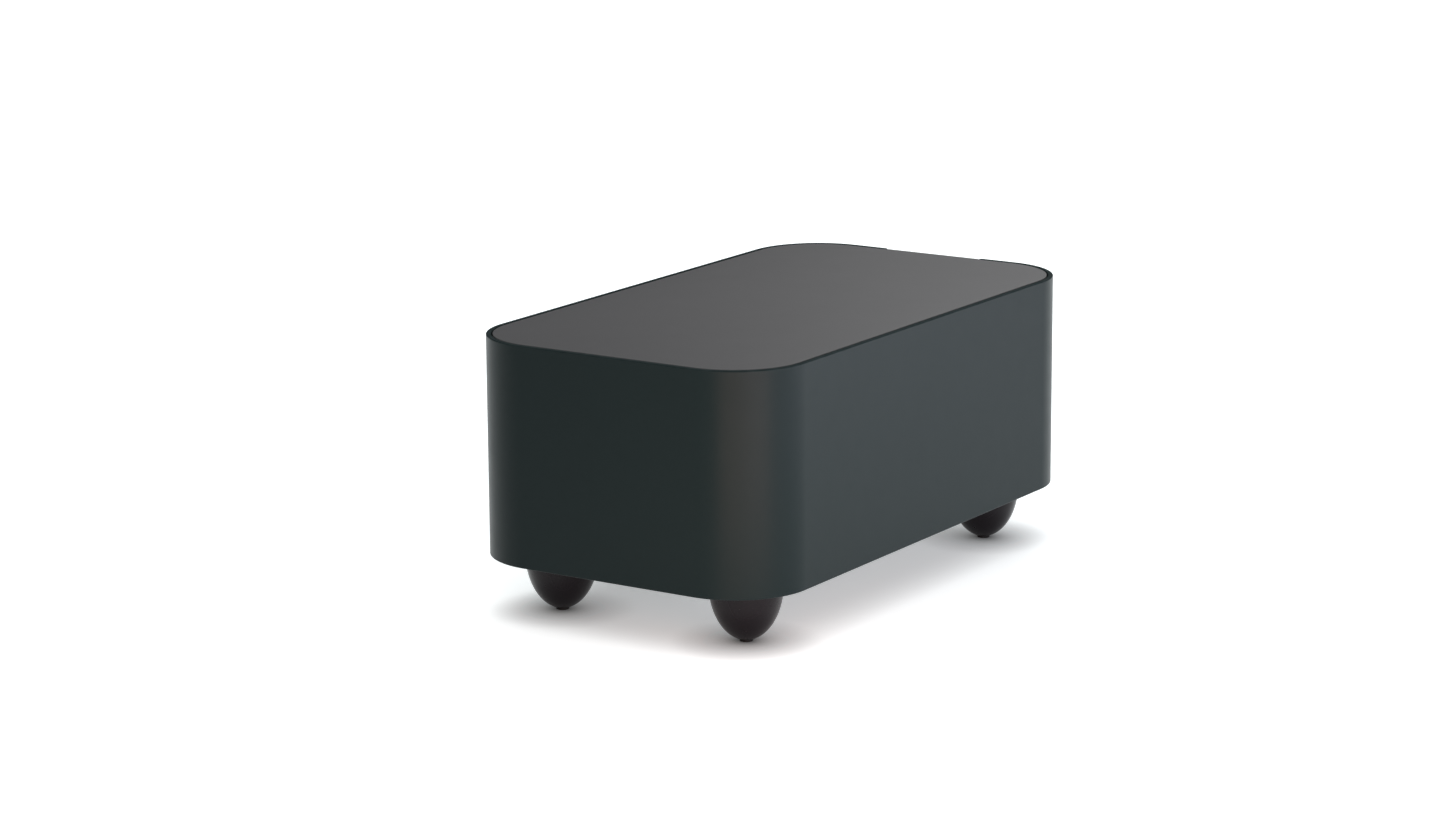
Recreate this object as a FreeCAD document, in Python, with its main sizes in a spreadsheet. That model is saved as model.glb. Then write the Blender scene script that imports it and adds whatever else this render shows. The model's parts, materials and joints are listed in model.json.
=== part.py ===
import FreeCAD, Part
import math
import os
import re

import Sketcher
from FreeCAD import Placement, Rotation, Vector

# A moving coil step-up transformer: a small closed casing on four egg-shaped feet.
# A wrap-around sleeve with large round corners holds a top plate, whose folded-down rear
# tongue carries the sockets, and a bottom plate, which carries two screened toroidal
# transformers. Lengths are millimetres. +Z is up, the short front end faces -Y and the
# sockets face +Y. The origin is on the floor, under the middle of the whole object.

SIZES = {
    # Sleeve
    "casing_width": 136.0,
    "casing_depth": 240.0,
    "casing_height": 85.3,
    "corner_radius": 30.0,
    "sleeve_sheet": 2.0,
    "plate_gap": 0.5,
    "rear_opening": 45.0,
    "rim_bevel": 0.4,
    # Top plate and its rear tongue
    "top_sheet": 1.5,
    "bend_radius": 0.5,
    # Bottom plate and its rear tab
    "bottom_sheet": 2.0,
    "bottom_recess": 1.0,
    "tab_height": 9.0,
    "tab_inset": 2.0,
    "tab_lap": 6.0,
    "tab_screw_spread": 28.0,
    "tab_screw_rise": 5.0,
    # Feet
    "foot_radius": 14.0,
    "foot_half_height": 21.2,
    "foot_centre_drop": 1.5,
    "foot_inset_side": 26.3,
    "foot_inset_end": 30.6,
    "foot_pad_radius": 2.5,
    "foot_pad_depth": 3.0,
    "foot_pad_proud": 0.5,
    "foot_insert_radius": 3.5,
    "foot_insert_length": 12.0,
    # Screws: nominal radius, head radius, head height, reach past the sheet that it holds
    "foot_screw_radius": 2.5,
    "foot_screw_head": 4.6,
    "foot_screw_head_height": 3.0,
    "foot_screw_reach": 9.0,
    "foot_washer_radius": 5.5,
    "foot_washer_sheet": 1.0,
    "pillar_screw_radius": 2.0,
    "pillar_screw_head": 3.9,
    "pillar_screw_head_height": 2.4,
    "pillar_screw_reach": 8.0,
    "small_screw_radius": 1.5,
    "small_screw_head": 2.75,
    "small_screw_head_height": 1.8,
    "small_screw_reach": 4.0,
    "transformer_bolt_radius": 3.0,
    "transformer_bolt_head": 5.25,
    "transformer_bolt_head_height": 3.3,
    "transformer_bolt_spare": 2.0,
    "screw_play": 0.25,
    "thread_play": 0.05,
    # Pillars between the two plates
    "pillar_across": 8.0,
    "pillar_inset_side": 13.0,
    "pillar_spacing": 120.0,
    "pillar_thread_depth": 12.0,
    "top_stud_length": 8.0,
    # Brackets that hold the sleeve to the bottom plate
    "bracket_width": 12.0,
    "bracket_foot": 11.0,
    "bracket_rise": 12.0,
    "bracket_sheet": 1.5,
    "bracket_screw_inset": 6.5,
    "bracket_spacing": 60.0,
    "rear_bracket_spacing": 60.0,
    # Transformers
    "transformers_forward": 8.0,
    "transformer_spacing": 90.0,
    "winding_radius": 36.0,
    "winding_bore": 11.0,
    "winding_height": 34.0,
    "winding_round": 6.0,
    "winding_bore_round": 3.0,
    "winding_build": 5.0,
    "core_wrap": 0.3,
    "lower_pad_sheet": 2.0,
    "upper_pad_sheet": 2.0,
    "transformer_pad_bore": 4.0,
    "can_sheet": 1.0,
    "can_room": 1.0,
    "clamp_inset": 2.0,
    "clamp_rise": 2.0,
    "clamp_flat": 8.0,
    "clamp_sheet": 1.5,
    "nut_across": 10.0,
    "nut_height": 5.0,
    "nut_washer_radius": 6.0,
    "nut_washer_sheet": 1.2,
    # Grommets and leads
    "grommet_angle": 42.0,
    "grommet_wall_gap": 1.4,
    "grommet_pad_gap": 0.6,
    "grommet_radius": 3.5,
    "grommet_bore": 2.8,
    "grommet_lip": 1.0,
    "grommet_lip_height": 1.5,
    "grommet_play": 0.1,
    "lead_radius": 1.2,
    "lead_spread": 1.35,
    "lead_start_rise": 0.6,
    "lead_row_gap": 9.0,
    "lead_straight": 10.0,
    # Phono sockets
    "socket_spacing": 20.0,
    "input_row_drop": 20.0,
    "output_row_rise": 18.5,
    "barrel_radius": 4.15,
    "barrel_wall": 0.6,
    "barrel_length": 9.0,
    "flange_radius": 6.4,
    "flange_thickness": 2.0,
    "socket_thread_radius": 4.75,
    "socket_thread_length": 14.0,
    "insulator_recess": 0.5,
    "contact_radius": 2.2,
    "contact_bore": 1.65,
    "contact_bore_depth": 9.0,
    "contact_tail_radius": 1.0,
    "contact_tail_length": 7.0,
    "fit_play": 0.05,
    "ring_radius": 7.0,
    "ring_sheet": 1.2,
    "ring_shoulder_wall": 0.9,
    "ring_play": 0.1,
    "socket_nut_across": 12.0,
    "socket_nut_height": 3.0,
    "tag_sheet": 0.5,
    "tag_ring_radius": 6.5,
    "tag_reach": 11.0,
    "tag_width": 3.0,
    # Ground terminal
    "ground_row_rise": 10.8,
    "post_collar_radius": 6.0,
    "post_collar_length": 2.5,
    "post_thread_radius": 2.0,
    "post_head_radius": 2.4,
    "post_head_length": 0.8,
    "post_shank_radius": 3.0,
    "post_shank_length": 9.0,
    "post_nut_across": 10.0,
    "post_nut_height": 3.0,
    "clamp_gap": 0.1,
    "clamp_washer_radius": 4.6,
    "clamp_washer_sheet": 1.2,
    "clamp_washer_play": 0.3,
    "thumb_nut_radius": 5.0,
    "thumb_nut_length": 9.0,
    "thumb_nut_thread": 4.0,
    "thumb_nut_bore": 2.7,
    "thumb_nut_play": 0.05,
    "thumb_nut_bevel": 0.6,
    "thumb_nut_grooves": 18.0,
    "thumb_nut_groove_radius": 0.55,
    "thread_pitch": 0.7,
    "nut_turns": 7.0,
}

FEET = {"front_left": (-1, -1), "front_right": (1, -1), "rear_left": (-1, 1), "rear_right": (1, 1)}
CORNERS = list(FEET.values())
CHANNELS = {"left": -1, "right": 1}
UPRIGHT = Rotation()
FACING_REAR = Rotation(Vector(0, 0, 1), Vector(0, 1, 0))
UPSIDE_DOWN = Rotation(Vector(1, 0, 0), 180)
QUARTER = 90.0
LEAST_CUT = 0.01
TINY = 1e-4
FIRST_GUESS = Vector(1, 0, 0)
# A screw's crown as a share of its head, and its narrowed tip as shares of its radius
CROWN_SHARE = 0.35
TIP_SHARE = 0.8
TIP_BEVEL_SHARE = 0.3
# How many sheets deep a hole is cut, so that it goes right through
PIERCE = 4
# A lead's bends: an arc's reach along its shorter run, and how far a tube's volume may be off
ARC_SHARE = 0.45
TUBE_TOLERANCE = 0.01
# The ground lead's bends as shares of its run, and how many radii it sags in the middle
GROUND_LEAD_BENDS = (0.2, 0.5, 0.8)
GROUND_LEAD_SAG = 3

# Places that several pieces share, as formulas of the sizes. Heights are above the floor.
CASING_LOW = "(foot_pad_proud + foot_half_height + foot_centre_drop)"
CASING_TOP = f"({CASING_LOW} + casing_height)"
TOP_UNDERSIDE = f"({CASING_TOP} - top_sheet)"
BOTTOM_LOW = f"({CASING_LOW} + bottom_recess)"
BOTTOM_TOP = f"({BOTTOM_LOW} + bottom_sheet)"
PLATE_INSET = "(sleeve_sheet + plate_gap)"
PANEL_OUTER = "(casing_depth / 2)"
PANEL_INNER = "(casing_depth / 2 - top_sheet)"
FOOT_X = "(casing_width / 2 - foot_inset_side)"
FOOT_Y = "(casing_depth / 2 - foot_inset_end)"
PILLAR_X = "(casing_width / 2 - pillar_inset_side)"
PILLAR_Y = "(pillar_spacing / 2)"
SLEEVE_INNER_X = "(casing_width / 2 - sleeve_sheet)"
SLEEVE_INNER_Y = "(casing_depth / 2 - sleeve_sheet)"
TRANSFORMER_Y = {
    "left": "(-transformers_forward - transformer_spacing / 2)",
    "right": "(-transformers_forward + transformer_spacing / 2)",
}
WINDING_LOW = f"({BOTTOM_TOP} + lower_pad_sheet)"
WINDING_TOP = f"({WINDING_LOW} + winding_height)"
CAN_CEILING = f"({WINDING_TOP} + upper_pad_sheet)"
CAN_TOP = f"({CAN_CEILING} + can_sheet)"
CAN_INNER = "(winding_radius + can_room)"
GROMMET_REACH = f"({CAN_INNER} - grommet_wall_gap - grommet_lip - grommet_radius)"
GROMMET_X = f"({GROMMET_REACH} * cos(grommet_angle))"
GROMMET_Y = f"({GROMMET_REACH} * sin(grommet_angle))"
UPPER_PAD_RADIUS = f"({GROMMET_REACH} - grommet_pad_gap - grommet_lip - grommet_radius)"
CLAMP_RADIUS = f"({UPPER_PAD_RADIUS} - clamp_inset)"
CLAMP_TOP = f"({CAN_TOP} + clamp_rise + clamp_sheet)"
NUT_LOW = f"({CLAMP_TOP} + nut_washer_sheet)"
NUT_TOP = f"({NUT_LOW} + nut_height)"
GROUND_HEIGHT = f"({BOTTOM_TOP} + tab_height + ground_row_rise)"
ROW_HEIGHT = {
    "input": f"({CASING_TOP} - input_row_drop)",
    "output": f"({GROUND_HEIGHT} + output_row_rise)",
}
TAB_SCREW_HEIGHT = f"({BOTTOM_TOP} + tab_screw_rise)"
SOCKET_BORE = "(barrel_radius - barrel_wall)"
RING_SHOULDER = "(socket_thread_radius + ring_play + ring_shoulder_wall)"
NUT_TRAVEL = "(thread_pitch * nut_turns)"
NUT_SEAT = "(post_collar_length + clamp_gap + clamp_washer_sheet)"
POST_REACH = f"({NUT_SEAT} + thumb_nut_thread + {NUT_TRAVEL} + clamp_gap + post_head_length)"
SOCKET_REACH = "(ring_sheet + flange_thickness + barrel_length)"
REAR_REACH = f"max({POST_REACH}; {SOCKET_REACH})"

os.makedirs("parts", exist_ok=True)
document = FreeCAD.newDocument("step_up_transformer")
sheet = document.addObject("Spreadsheet::Sheet", "sizes")
for row, (name, number) in enumerate(SIZES.items(), 1):
    sheet.set(f"A{row}", name)
    sheet.set(f"B{row}", str(number))
    sheet.setAlias(f"B{row}", name)
document.recompute()


def formula(words):
    """Give each size named in a formula its address in the sheet."""
    def address(word):
        return f"sizes.{word[0]}" if word[0] in SIZES else word[0]
    return re.sub(r"[a-z][a-z_]*", address, str(words))


def size(name):
    """Read one size from the sheet."""
    return float(sheet.get(name))


def bind(thing, where, words):
    """Tie a property of a thing to a formula of the sizes."""
    thing.setExpression(where, formula(words))


def place(piece, across="0", along="0", height="0", turn=UPRIGHT):
    """Put a piece at a place measured from the casing's middle, and turn it."""
    piece.Placement = Placement(Vector(), turn)
    bind(piece, "Placement.Base.x", across)
    bind(piece, "Placement.Base.y", f"({along}) - {REAR_REACH} / 2")
    bind(piece, "Placement.Base.z", height)
    return piece


def new_body(name):
    """Start a piece."""
    body = document.addObject("PartDesign::Body", name)
    body.Label = name
    return body


def new_sketch(body, name, role="XY_Plane", offset="0"):
    """Start a sketch on one of a piece's own origin planes, or at an offset from it."""
    sketch = body.newObject("Sketcher::SketchObject", f"{body.Name}_{name}")
    plane = [feature for feature in body.Origin.OriginFeatures if feature.Role == role][0]
    sketch.AttachmentSupport = [(plane, "")]
    sketch.MapMode = "FlatFace"
    bind(sketch, "AttachmentOffset.Base.z", offset)
    return sketch


def polygon(sketch, corners):
    """Draw a closed outline through corners given as pairs of formulas."""
    first = sketch.GeometryCount
    count = len(corners)
    guesses = [Rotation(Vector(0, 0, 1), 360 * step / count).multVec(FIRST_GUESS) for step in range(count)]
    for step in range(count):
        sketch.addGeometry(Part.LineSegment(guesses[step], guesses[(step + 1) % count]), False)
    for step in range(count):
        following = first + (step + 1) % count
        sketch.addConstraint(Sketcher.Constraint("Coincident", first + step, 2, following, 1))
    for step, (across, up) in enumerate(corners):
        for kind, words in (("DistanceX", across), ("DistanceY", up)):
            number = sketch.addConstraint(Sketcher.Constraint(kind, first + step, 1, 1.0))
            bind(sketch, f"Constraints[{number}]", words)


def rectangle(sketch, left, right, low, high):
    """Draw a rectangle between four formulas."""
    polygon(sketch, [(left, low), (right, low), (right, high), (left, high)])


def hexagon(sketch, across):
    """Draw a hexagon by its width across flats, with two corners on the X axis."""
    corner = f"({across}) / 2 / cos(30)"
    polygon(sketch, [(f"{corner} * cos({60 * step})", f"{corner} * sin({60 * step})") for step in range(6)])


def circle(sketch, radius, across="0", up="0"):
    """Draw a circle."""
    number = sketch.addGeometry(Part.Circle(Vector(0, 0, 0), Vector(0, 0, 1), 1.0), False)
    for constraint, words in (
        (Sketcher.Constraint("Radius", number, 1.0), radius),
        (Sketcher.Constraint("DistanceX", number, 3, 1.0), across),
        (Sketcher.Constraint("DistanceY", number, 3, 1.0), up),
    ):
        tie = sketch.addConstraint(constraint)
        bind(sketch, f"Constraints[{tie}]", words)


def pad(body, sketch, length, both_ways=False):
    """Raise a sketch into a solid."""
    feature = body.newObject("PartDesign::Pad", f"{sketch.Name}_pad")
    feature.Profile = sketch
    feature.Midplane = both_ways
    bind(feature, "Length", length)
    document.recompute()
    return feature


def finish_cut(body, feature, before):
    """Carry a cut out and make sure that it took something away."""
    document.recompute()
    if before - body.Shape.Volume < LEAST_CUT:
        raise RuntimeError(f"{feature.Name} cuts nothing")
    return feature


def cut_through(body, sketch):
    """Cut a sketch through the whole piece."""
    before = body.Shape.Volume
    feature = body.newObject("PartDesign::Pocket", f"{sketch.Name}_cut")
    feature.Profile = sketch
    feature.Type = "ThroughAll"
    feature.Midplane = True
    return finish_cut(body, feature, before)


def cut_depth(body, sketch, depth, turned_over=False):
    """Cut a sketch to a depth."""
    before = body.Shape.Volume
    feature = body.newObject("PartDesign::Pocket", f"{sketch.Name}_cut")
    feature.Profile = sketch
    feature.Reversed = turned_over
    bind(feature, "Length", depth)
    return finish_cut(body, feature, before)


def round_edges(body, name, radius, chosen):
    """Round the edges that a test chooses."""
    base = body.Tip
    edges = [f"Edge{number}" for number, edge in enumerate(base.Shape.Edges, 1) if chosen(edge)]
    feature = body.newObject("PartDesign::Fillet", f"{body.Name}_{name}")
    feature.Base = (base, edges)
    bind(feature, "Radius", radius)
    document.recompute()
    return feature


def bevel_edges(body, name, width, chosen):
    """Bevel the edges that a test chooses."""
    base = body.Tip
    edges = [f"Edge{number}" for number, edge in enumerate(base.Shape.Edges, 1) if chosen(edge)]
    feature = body.newObject("PartDesign::Chamfer", f"{body.Name}_{name}")
    feature.Base = (base, edges)
    bind(feature, "Size", width)
    document.recompute()
    return feature


def hollow_out(body, name, wall, chosen):
    """Hollow a solid to a wall of even thickness, open at the faces that a test chooses."""
    base = body.Tip
    faces = [f"Face{number}" for number, face in enumerate(base.Shape.Faces, 1) if chosen(face)]
    feature = body.newObject("PartDesign::Thickness", f"{body.Name}_{name}")
    feature.Base = (base, faces)
    feature.Reversed = True
    feature.Join = "Intersection"
    bind(feature, "Value", wall)
    document.recompute()
    return feature


def upright_corner(limits):
    """Make a test for the upright edges at the four corners of a box."""
    def chosen(edge):
        box = edge.BoundBox
        is_upright = box.XLength < TINY and box.YLength < TINY
        at_corner = abs(abs(box.XMin) - limits[0]) < TINY and abs(abs(box.YMin) - limits[1]) < TINY
        return is_upright and at_corner
    return chosen


def along_x_at(depth, height):
    """Make a test for the straight edges along X at one depth and height."""
    def chosen(edge):
        box = edge.BoundBox
        is_along = box.YLength < TINY and box.ZLength < TINY
        return is_along and abs(box.YMin - depth) < TINY and abs(box.ZMin - height) < TINY
    return chosen


def level_circle(radius):
    """Make a test for the level round edges of one radius."""
    def chosen(edge):
        return edge.BoundBox.ZLength < TINY and abs(edge.Curve.Radius - radius) < TINY
    return chosen


def outer_rim(half_width, half_depth, radius):
    """Make a test for the level edges that run round the outside of a rounded box."""
    def chosen(edge):
        box = edge.BoundBox
        if box.ZLength > TINY:
            return False
        if edge.Curve.TypeId == "Part::GeomCircle":
            return abs(edge.Curve.Radius - radius) < TINY
        on_side = abs(abs(box.Center.x) - half_width) < TINY
        on_end = abs(abs(box.Center.y) - half_depth) < TINY
        return on_side or on_end
    return chosen


def turned(name, profile):
    """Turn a piece about its own Z axis from a profile of (radius, height) formulas."""
    body = new_body(name)
    sketch = new_sketch(body, "profile", "XZ_Plane")
    polygon(sketch, profile)
    feature = body.newObject("PartDesign::Revolution", f"{name}_turned")
    feature.Profile = sketch
    feature.ReferenceAxis = (sketch, ["V_Axis"])
    feature.Angle = 360
    return body


def ring(name, bore, radius, low, high):
    """Turn a plain ring or washer."""
    return turned(name, [(bore, low), (radius, low), (radius, high), (bore, high)])


def hex_nut(name, across, bore, height):
    """Make a hexagon nut that stands on its own XY plane."""
    body = new_body(name)
    sketch = new_sketch(body, "outline")
    hexagon(sketch, across)
    circle(sketch, bore)
    pad(body, sketch, height)
    return body


def screw(name, radius, head_radius, head_height, length):
    """Turn a pan-head screw: its head stands above the XY plane and its shank hangs below."""
    crown = f"{head_height} * {CROWN_SHARE}"
    tip = f"{radius} * {TIP_SHARE}"
    tip_bevel = f"{radius} * {TIP_BEVEL_SHARE}"
    return turned(name, [
        ("0", f"-({length})"), (tip, f"-({length})"), (radius, f"-({length}) + {tip_bevel}"),
        (radius, "0"), (head_radius, "0"), (head_radius, f"{head_height} - {crown}"),
        (f"{head_radius} - {crown}", head_height), ("0", head_height)])


def group(name, pieces):
    """Keep identical pieces together as one named sub-part."""
    compound = document.addObject("Part::Compound", name)
    compound.Label = name
    compound.Links = pieces
    return compound


def make_sleeve():
    """Bend the sleeve: a C of sheet with round corners, open behind the sockets' panel."""
    body = new_body("casing_sleeve")
    outline = new_sketch(body, "outline")
    rectangle(outline, "-casing_width / 2", "casing_width / 2", "-casing_depth / 2", "casing_depth / 2")
    pad(body, outline, "casing_height")
    box = body.Shape.BoundBox
    round_edges(body, "corners", "corner_radius", upright_corner((box.XMax, box.YMax)))
    hollow_out(body, "wall", "sleeve_sheet", lambda face: face.BoundBox.ZLength < TINY)
    opening = new_sketch(body, "rear_opening")
    rectangle(opening, "-rear_opening / 2", "rear_opening / 2", "casing_depth / 4", "casing_depth")
    cut_through(body, opening)
    bevel_edges(body, "rims", "rim_bevel", outer_rim(box.XMax, box.YMax, size("corner_radius")))
    return place(body, height=CASING_LOW)


def make_top_plate():
    """Fold the top plate: a rounded sheet flush with the sleeve's rim, with a tongue bent down behind."""
    body = new_body("top_plate")
    half_width = f"(casing_width / 2 - {PLATE_INSET})"
    half_depth = f"(casing_depth / 2 - {PLATE_INSET})"
    outline = new_sketch(body, "outline")
    rectangle(outline, f"-{half_width}", half_width, f"-{half_depth}", half_depth)
    pad(body, outline, "top_sheet")
    box = body.Shape.BoundBox
    round_edges(body, "corners", f"corner_radius - {PLATE_INSET}", upright_corner((box.XMax, box.YMax)))
    tongue = new_sketch(body, "tongue", "YZ_Plane")
    low = "top_sheet - casing_height"
    polygon(tongue, [
        (f"{half_depth} - corner_radius / 2", "0"), (PANEL_INNER, "0"), (PANEL_INNER, low),
        (PANEL_OUTER, low), (PANEL_OUTER, "top_sheet"), (f"{half_depth} - corner_radius / 2", "top_sheet")])
    pad(body, tongue, "rear_opening - 2 * plate_gap", both_ways=True)
    rear = body.Shape.BoundBox.YMax
    round_edges(body, "outer_bend", "bend_radius + top_sheet", along_x_at(rear, size("top_sheet")))
    round_edges(body, "inner_bend", "bend_radius", along_x_at(rear - size("top_sheet"), 0))
    holes = new_sketch(body, "panel_holes", "XZ_Plane", "-casing_depth / 2")
    for height in ROW_HEIGHT.values():
        for side in CHANNELS.values():
            circle(holes, f"{RING_SHOULDER} + ring_play", f"{side} * socket_spacing / 2",
                   f"{height} - {TOP_UNDERSIDE}")
    circle(holes, "post_shank_radius + ring_play", "0", f"{GROUND_HEIGHT} - {TOP_UNDERSIDE}")
    for side in CHANNELS.values():
        circle(holes, "small_screw_radius + screw_play", f"{side} * tab_screw_spread / 2",
               f"{TAB_SCREW_HEIGHT} - {TOP_UNDERSIDE}")
    cut_depth(body, holes, f"{PIERCE} * top_sheet", turned_over=True)
    return place(body, height=TOP_UNDERSIDE)


def make_bottom_plate():
    """Cut the bottom plate, with its screw holes and the upright tab that holds the rear tongue."""
    body = new_body("bottom_plate")
    half_width = f"(casing_width / 2 - {PLATE_INSET})"
    half_depth = f"(casing_depth / 2 - {PLATE_INSET})"
    outline = new_sketch(body, "outline")
    rectangle(outline, f"-{half_width}", half_width, f"-{half_depth}", half_depth)
    pad(body, outline, "bottom_sheet")
    box = body.Shape.BoundBox
    round_edges(body, "corners", f"corner_radius - {PLATE_INSET}", upright_corner((box.XMax, box.YMax)))
    tab = new_sketch(body, "tab", "YZ_Plane")
    inner = f"({PANEL_INNER} - bottom_sheet)"
    start, top = f"{inner} - tab_lap", "bottom_sheet + tab_height"
    polygon(tab, [(start, "0"), (PANEL_INNER, "0"), (PANEL_INNER, top), (inner, top),
                  (inner, "bottom_sheet"), (start, "bottom_sheet")])
    pad(body, tab, "rear_opening - 2 * plate_gap - 2 * tab_inset", both_ways=True)
    rear = body.Shape.BoundBox.YMax
    round_edges(body, "outer_bend", "bend_radius + bottom_sheet", along_x_at(rear, 0))
    round_edges(body, "inner_bend", "bend_radius",
                along_x_at(rear - size("bottom_sheet"), size("bottom_sheet")))
    holes = new_sketch(body, "floor_holes")
    for side, end in CORNERS:
        circle(holes, "foot_screw_radius + screw_play", f"{side} * {FOOT_X}", f"{end} * {FOOT_Y}")
        circle(holes, "pillar_screw_radius + screw_play", f"{side} * {PILLAR_X}", f"{end} * {PILLAR_Y}")
    for along in TRANSFORMER_Y.values():
        circle(holes, "transformer_bolt_radius + screw_play", "0", along)
    for across, along, _ in bracket_seats("bracket_screw_inset"):
        circle(holes, "small_screw_radius + screw_play", across, along)
    cut_through(body, holes)
    tab_holes = new_sketch(body, "tab_holes", "XZ_Plane", "-casing_depth / 2")
    for side in CHANNELS.values():
        circle(tab_holes, "small_screw_radius + thread_play", f"{side} * tab_screw_spread / 2",
               "bottom_sheet + tab_screw_rise")
    cut_depth(body, tab_holes, f"{PIERCE} * bottom_sheet", turned_over=True)
    return place(body, height=BOTTOM_LOW)


def bracket_seats(inset):
    """List each bracket's place at an inset from the sleeve's inner wall, and the way that it faces."""
    seats = []
    for side in CHANNELS.values():
        for end in (-1, 1):
            seats.append((f"{side} * ({SLEEVE_INNER_X} - {inset})", f"{end} * bracket_spacing / 2",
                          -side * QUARTER))
        seats.append((f"{side} * rear_bracket_spacing / 2", f"{SLEEVE_INNER_Y} - {inset}", 0.0))
    seats.append(("0", f"-({SLEEVE_INNER_Y} - {inset})", 2 * QUARTER))
    return seats


def make_foot(name, side, end):
    """Turn a foot: an egg cut flat where it meets the bottom plate, bored for its insert and its pad."""
    body = new_body(name)
    sketch = new_sketch(body, "profile", "XZ_Plane")
    half_height, radius = size("foot_half_height"), size("foot_radius")
    rise = size("foot_centre_drop") + size("bottom_recess")
    egg = Part.Ellipse(Vector(0, -half_height, 0), Vector(radius, 0, 0), Vector(0, 0, 0))
    arc = Part.ArcOfEllipse(egg, 0, math.pi / 2 + math.asin(rise / half_height))
    side_curve = sketch.addGeometry(arc, False)
    sketch.exposeInternalGeometry(side_curve)
    long_axis, short_axis = side_curve + 1, side_curve + 2
    middle = sketch.addGeometry(Part.LineSegment(Vector(0, -half_height, 0), Vector(0, rise, 0)), False)
    top = sketch.addGeometry(Part.LineSegment(Vector(0, rise, 0), arc.EndPoint), False)
    for tie in (
        Sketcher.Constraint("Coincident", side_curve, 3, -1, 1),
        Sketcher.Constraint("Coincident", middle, 1, side_curve, 1),
        Sketcher.Constraint("Coincident", middle, 2, top, 1),
        Sketcher.Constraint("Coincident", top, 2, side_curve, 2),
        Sketcher.Constraint("Vertical", middle),
        Sketcher.Constraint("Vertical", long_axis),
        Sketcher.Constraint("PointOnObject", middle, 2, -2),
        Sketcher.Constraint("Horizontal", top),
    ):
        sketch.addConstraint(tie)
    for tie, words in (
        (Sketcher.Constraint("DistanceY", -1, 1, middle, 2, rise), "foot_centre_drop + bottom_recess"),
        (Sketcher.Constraint("Distance", long_axis, 2 * half_height), "2 * foot_half_height"),
        (Sketcher.Constraint("Distance", short_axis, 2 * radius), "2 * foot_radius"),
    ):
        number = sketch.addConstraint(tie)
        bind(sketch, f"Constraints[{number}]", words)
    feature = body.newObject("PartDesign::Revolution", f"{name}_turned")
    feature.Profile = sketch
    feature.ReferenceAxis = (sketch, ["V_Axis"])
    feature.Angle = 360
    document.recompute()
    insert_bore = new_sketch(body, "insert_bore", offset="foot_centre_drop + bottom_recess")
    circle(insert_bore, "foot_insert_radius + fit_play")
    cut_depth(body, insert_bore, "foot_insert_length")
    pad_bore = new_sketch(body, "pad_bore", offset="-foot_half_height")
    circle(pad_bore, "foot_pad_radius + fit_play")
    cut_depth(body, pad_bore, "foot_pad_depth", turned_over=True)
    return place(body, f"{side} * {FOOT_X}", f"{end} * {FOOT_Y}", "foot_pad_proud + foot_half_height")


def make_feet():
    """Make the feet with their pads, threaded inserts, screws and washers."""
    nodes = [make_foot(f"foot_{name}", side, end) for name, (side, end) in FEET.items()]
    pads, inserts, screws, washers = [], [], [], []
    for name, (side, end) in FEET.items():
        across, along = f"{side} * {FOOT_X}", f"{end} * {FOOT_Y}"
        soft_pad = ring(f"foot_pad_{name}", "0", "foot_pad_radius", "0", "foot_pad_proud + foot_pad_depth")
        pads.append(place(soft_pad, across, along))
        insert = ring(f"foot_insert_{name}", "foot_screw_radius + thread_play", "foot_insert_radius",
                      "-foot_insert_length", "0")
        inserts.append(place(insert, across, along, BOTTOM_LOW))
        washer = ring(f"foot_washer_{name}", "foot_screw_radius + screw_play", "foot_washer_radius",
                      "0", "foot_washer_sheet")
        washers.append(place(washer, across, along, BOTTOM_TOP))
        fastener = screw(f"foot_screw_{name}", "foot_screw_radius", "foot_screw_head",
                         "foot_screw_head_height", "foot_washer_sheet + bottom_sheet + foot_screw_reach")
        screws.append(place(fastener, across, along, f"{BOTTOM_TOP} + foot_washer_sheet"))
    nodes.append(group("foot_pads", pads))
    nodes.append(group("foot_inserts", inserts))
    nodes.append(group("foot_screws", screws))
    nodes.append(group("foot_washers", washers))
    return nodes


def make_pillar(name):
    """Make a hexagon pillar, tapped at both ends."""
    body = new_body(name)
    outline = new_sketch(body, "outline")
    hexagon(outline, "pillar_across")
    length = f"{TOP_UNDERSIDE} - {BOTTOM_TOP}"
    pad(body, outline, length)
    low_thread = new_sketch(body, "low_thread")
    circle(low_thread, "pillar_screw_radius + thread_play")
    cut_depth(body, low_thread, "pillar_thread_depth", turned_over=True)
    high_thread = new_sketch(body, "high_thread", offset=length)
    circle(high_thread, "pillar_screw_radius + thread_play")
    cut_depth(body, high_thread, "pillar_thread_depth")
    return body


def make_pillars():
    """Make the pillars, the studs under the top plate that screw into them, and their screws."""
    pillars, studs, screws = [], [], []
    for number, (side, end) in enumerate(CORNERS, 1):
        across, along = f"{side} * {PILLAR_X}", f"{end} * {PILLAR_Y}"
        pillars.append(place(make_pillar(f"pillar_{number}"), across, along, BOTTOM_TOP))
        stud = ring(f"top_stud_{number}", "0", "pillar_screw_radius", "-top_stud_length", "0")
        studs.append(place(stud, across, along, TOP_UNDERSIDE))
        fastener = screw(f"pillar_screw_{number}", "pillar_screw_radius", "pillar_screw_head",
                         "pillar_screw_head_height", "bottom_sheet + pillar_screw_reach")
        screws.append(place(fastener, across, along, BOTTOM_LOW, UPSIDE_DOWN))
    return [group("pillars", pillars), group("top_plate_studs", studs), group("pillar_screws", screws)]


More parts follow.
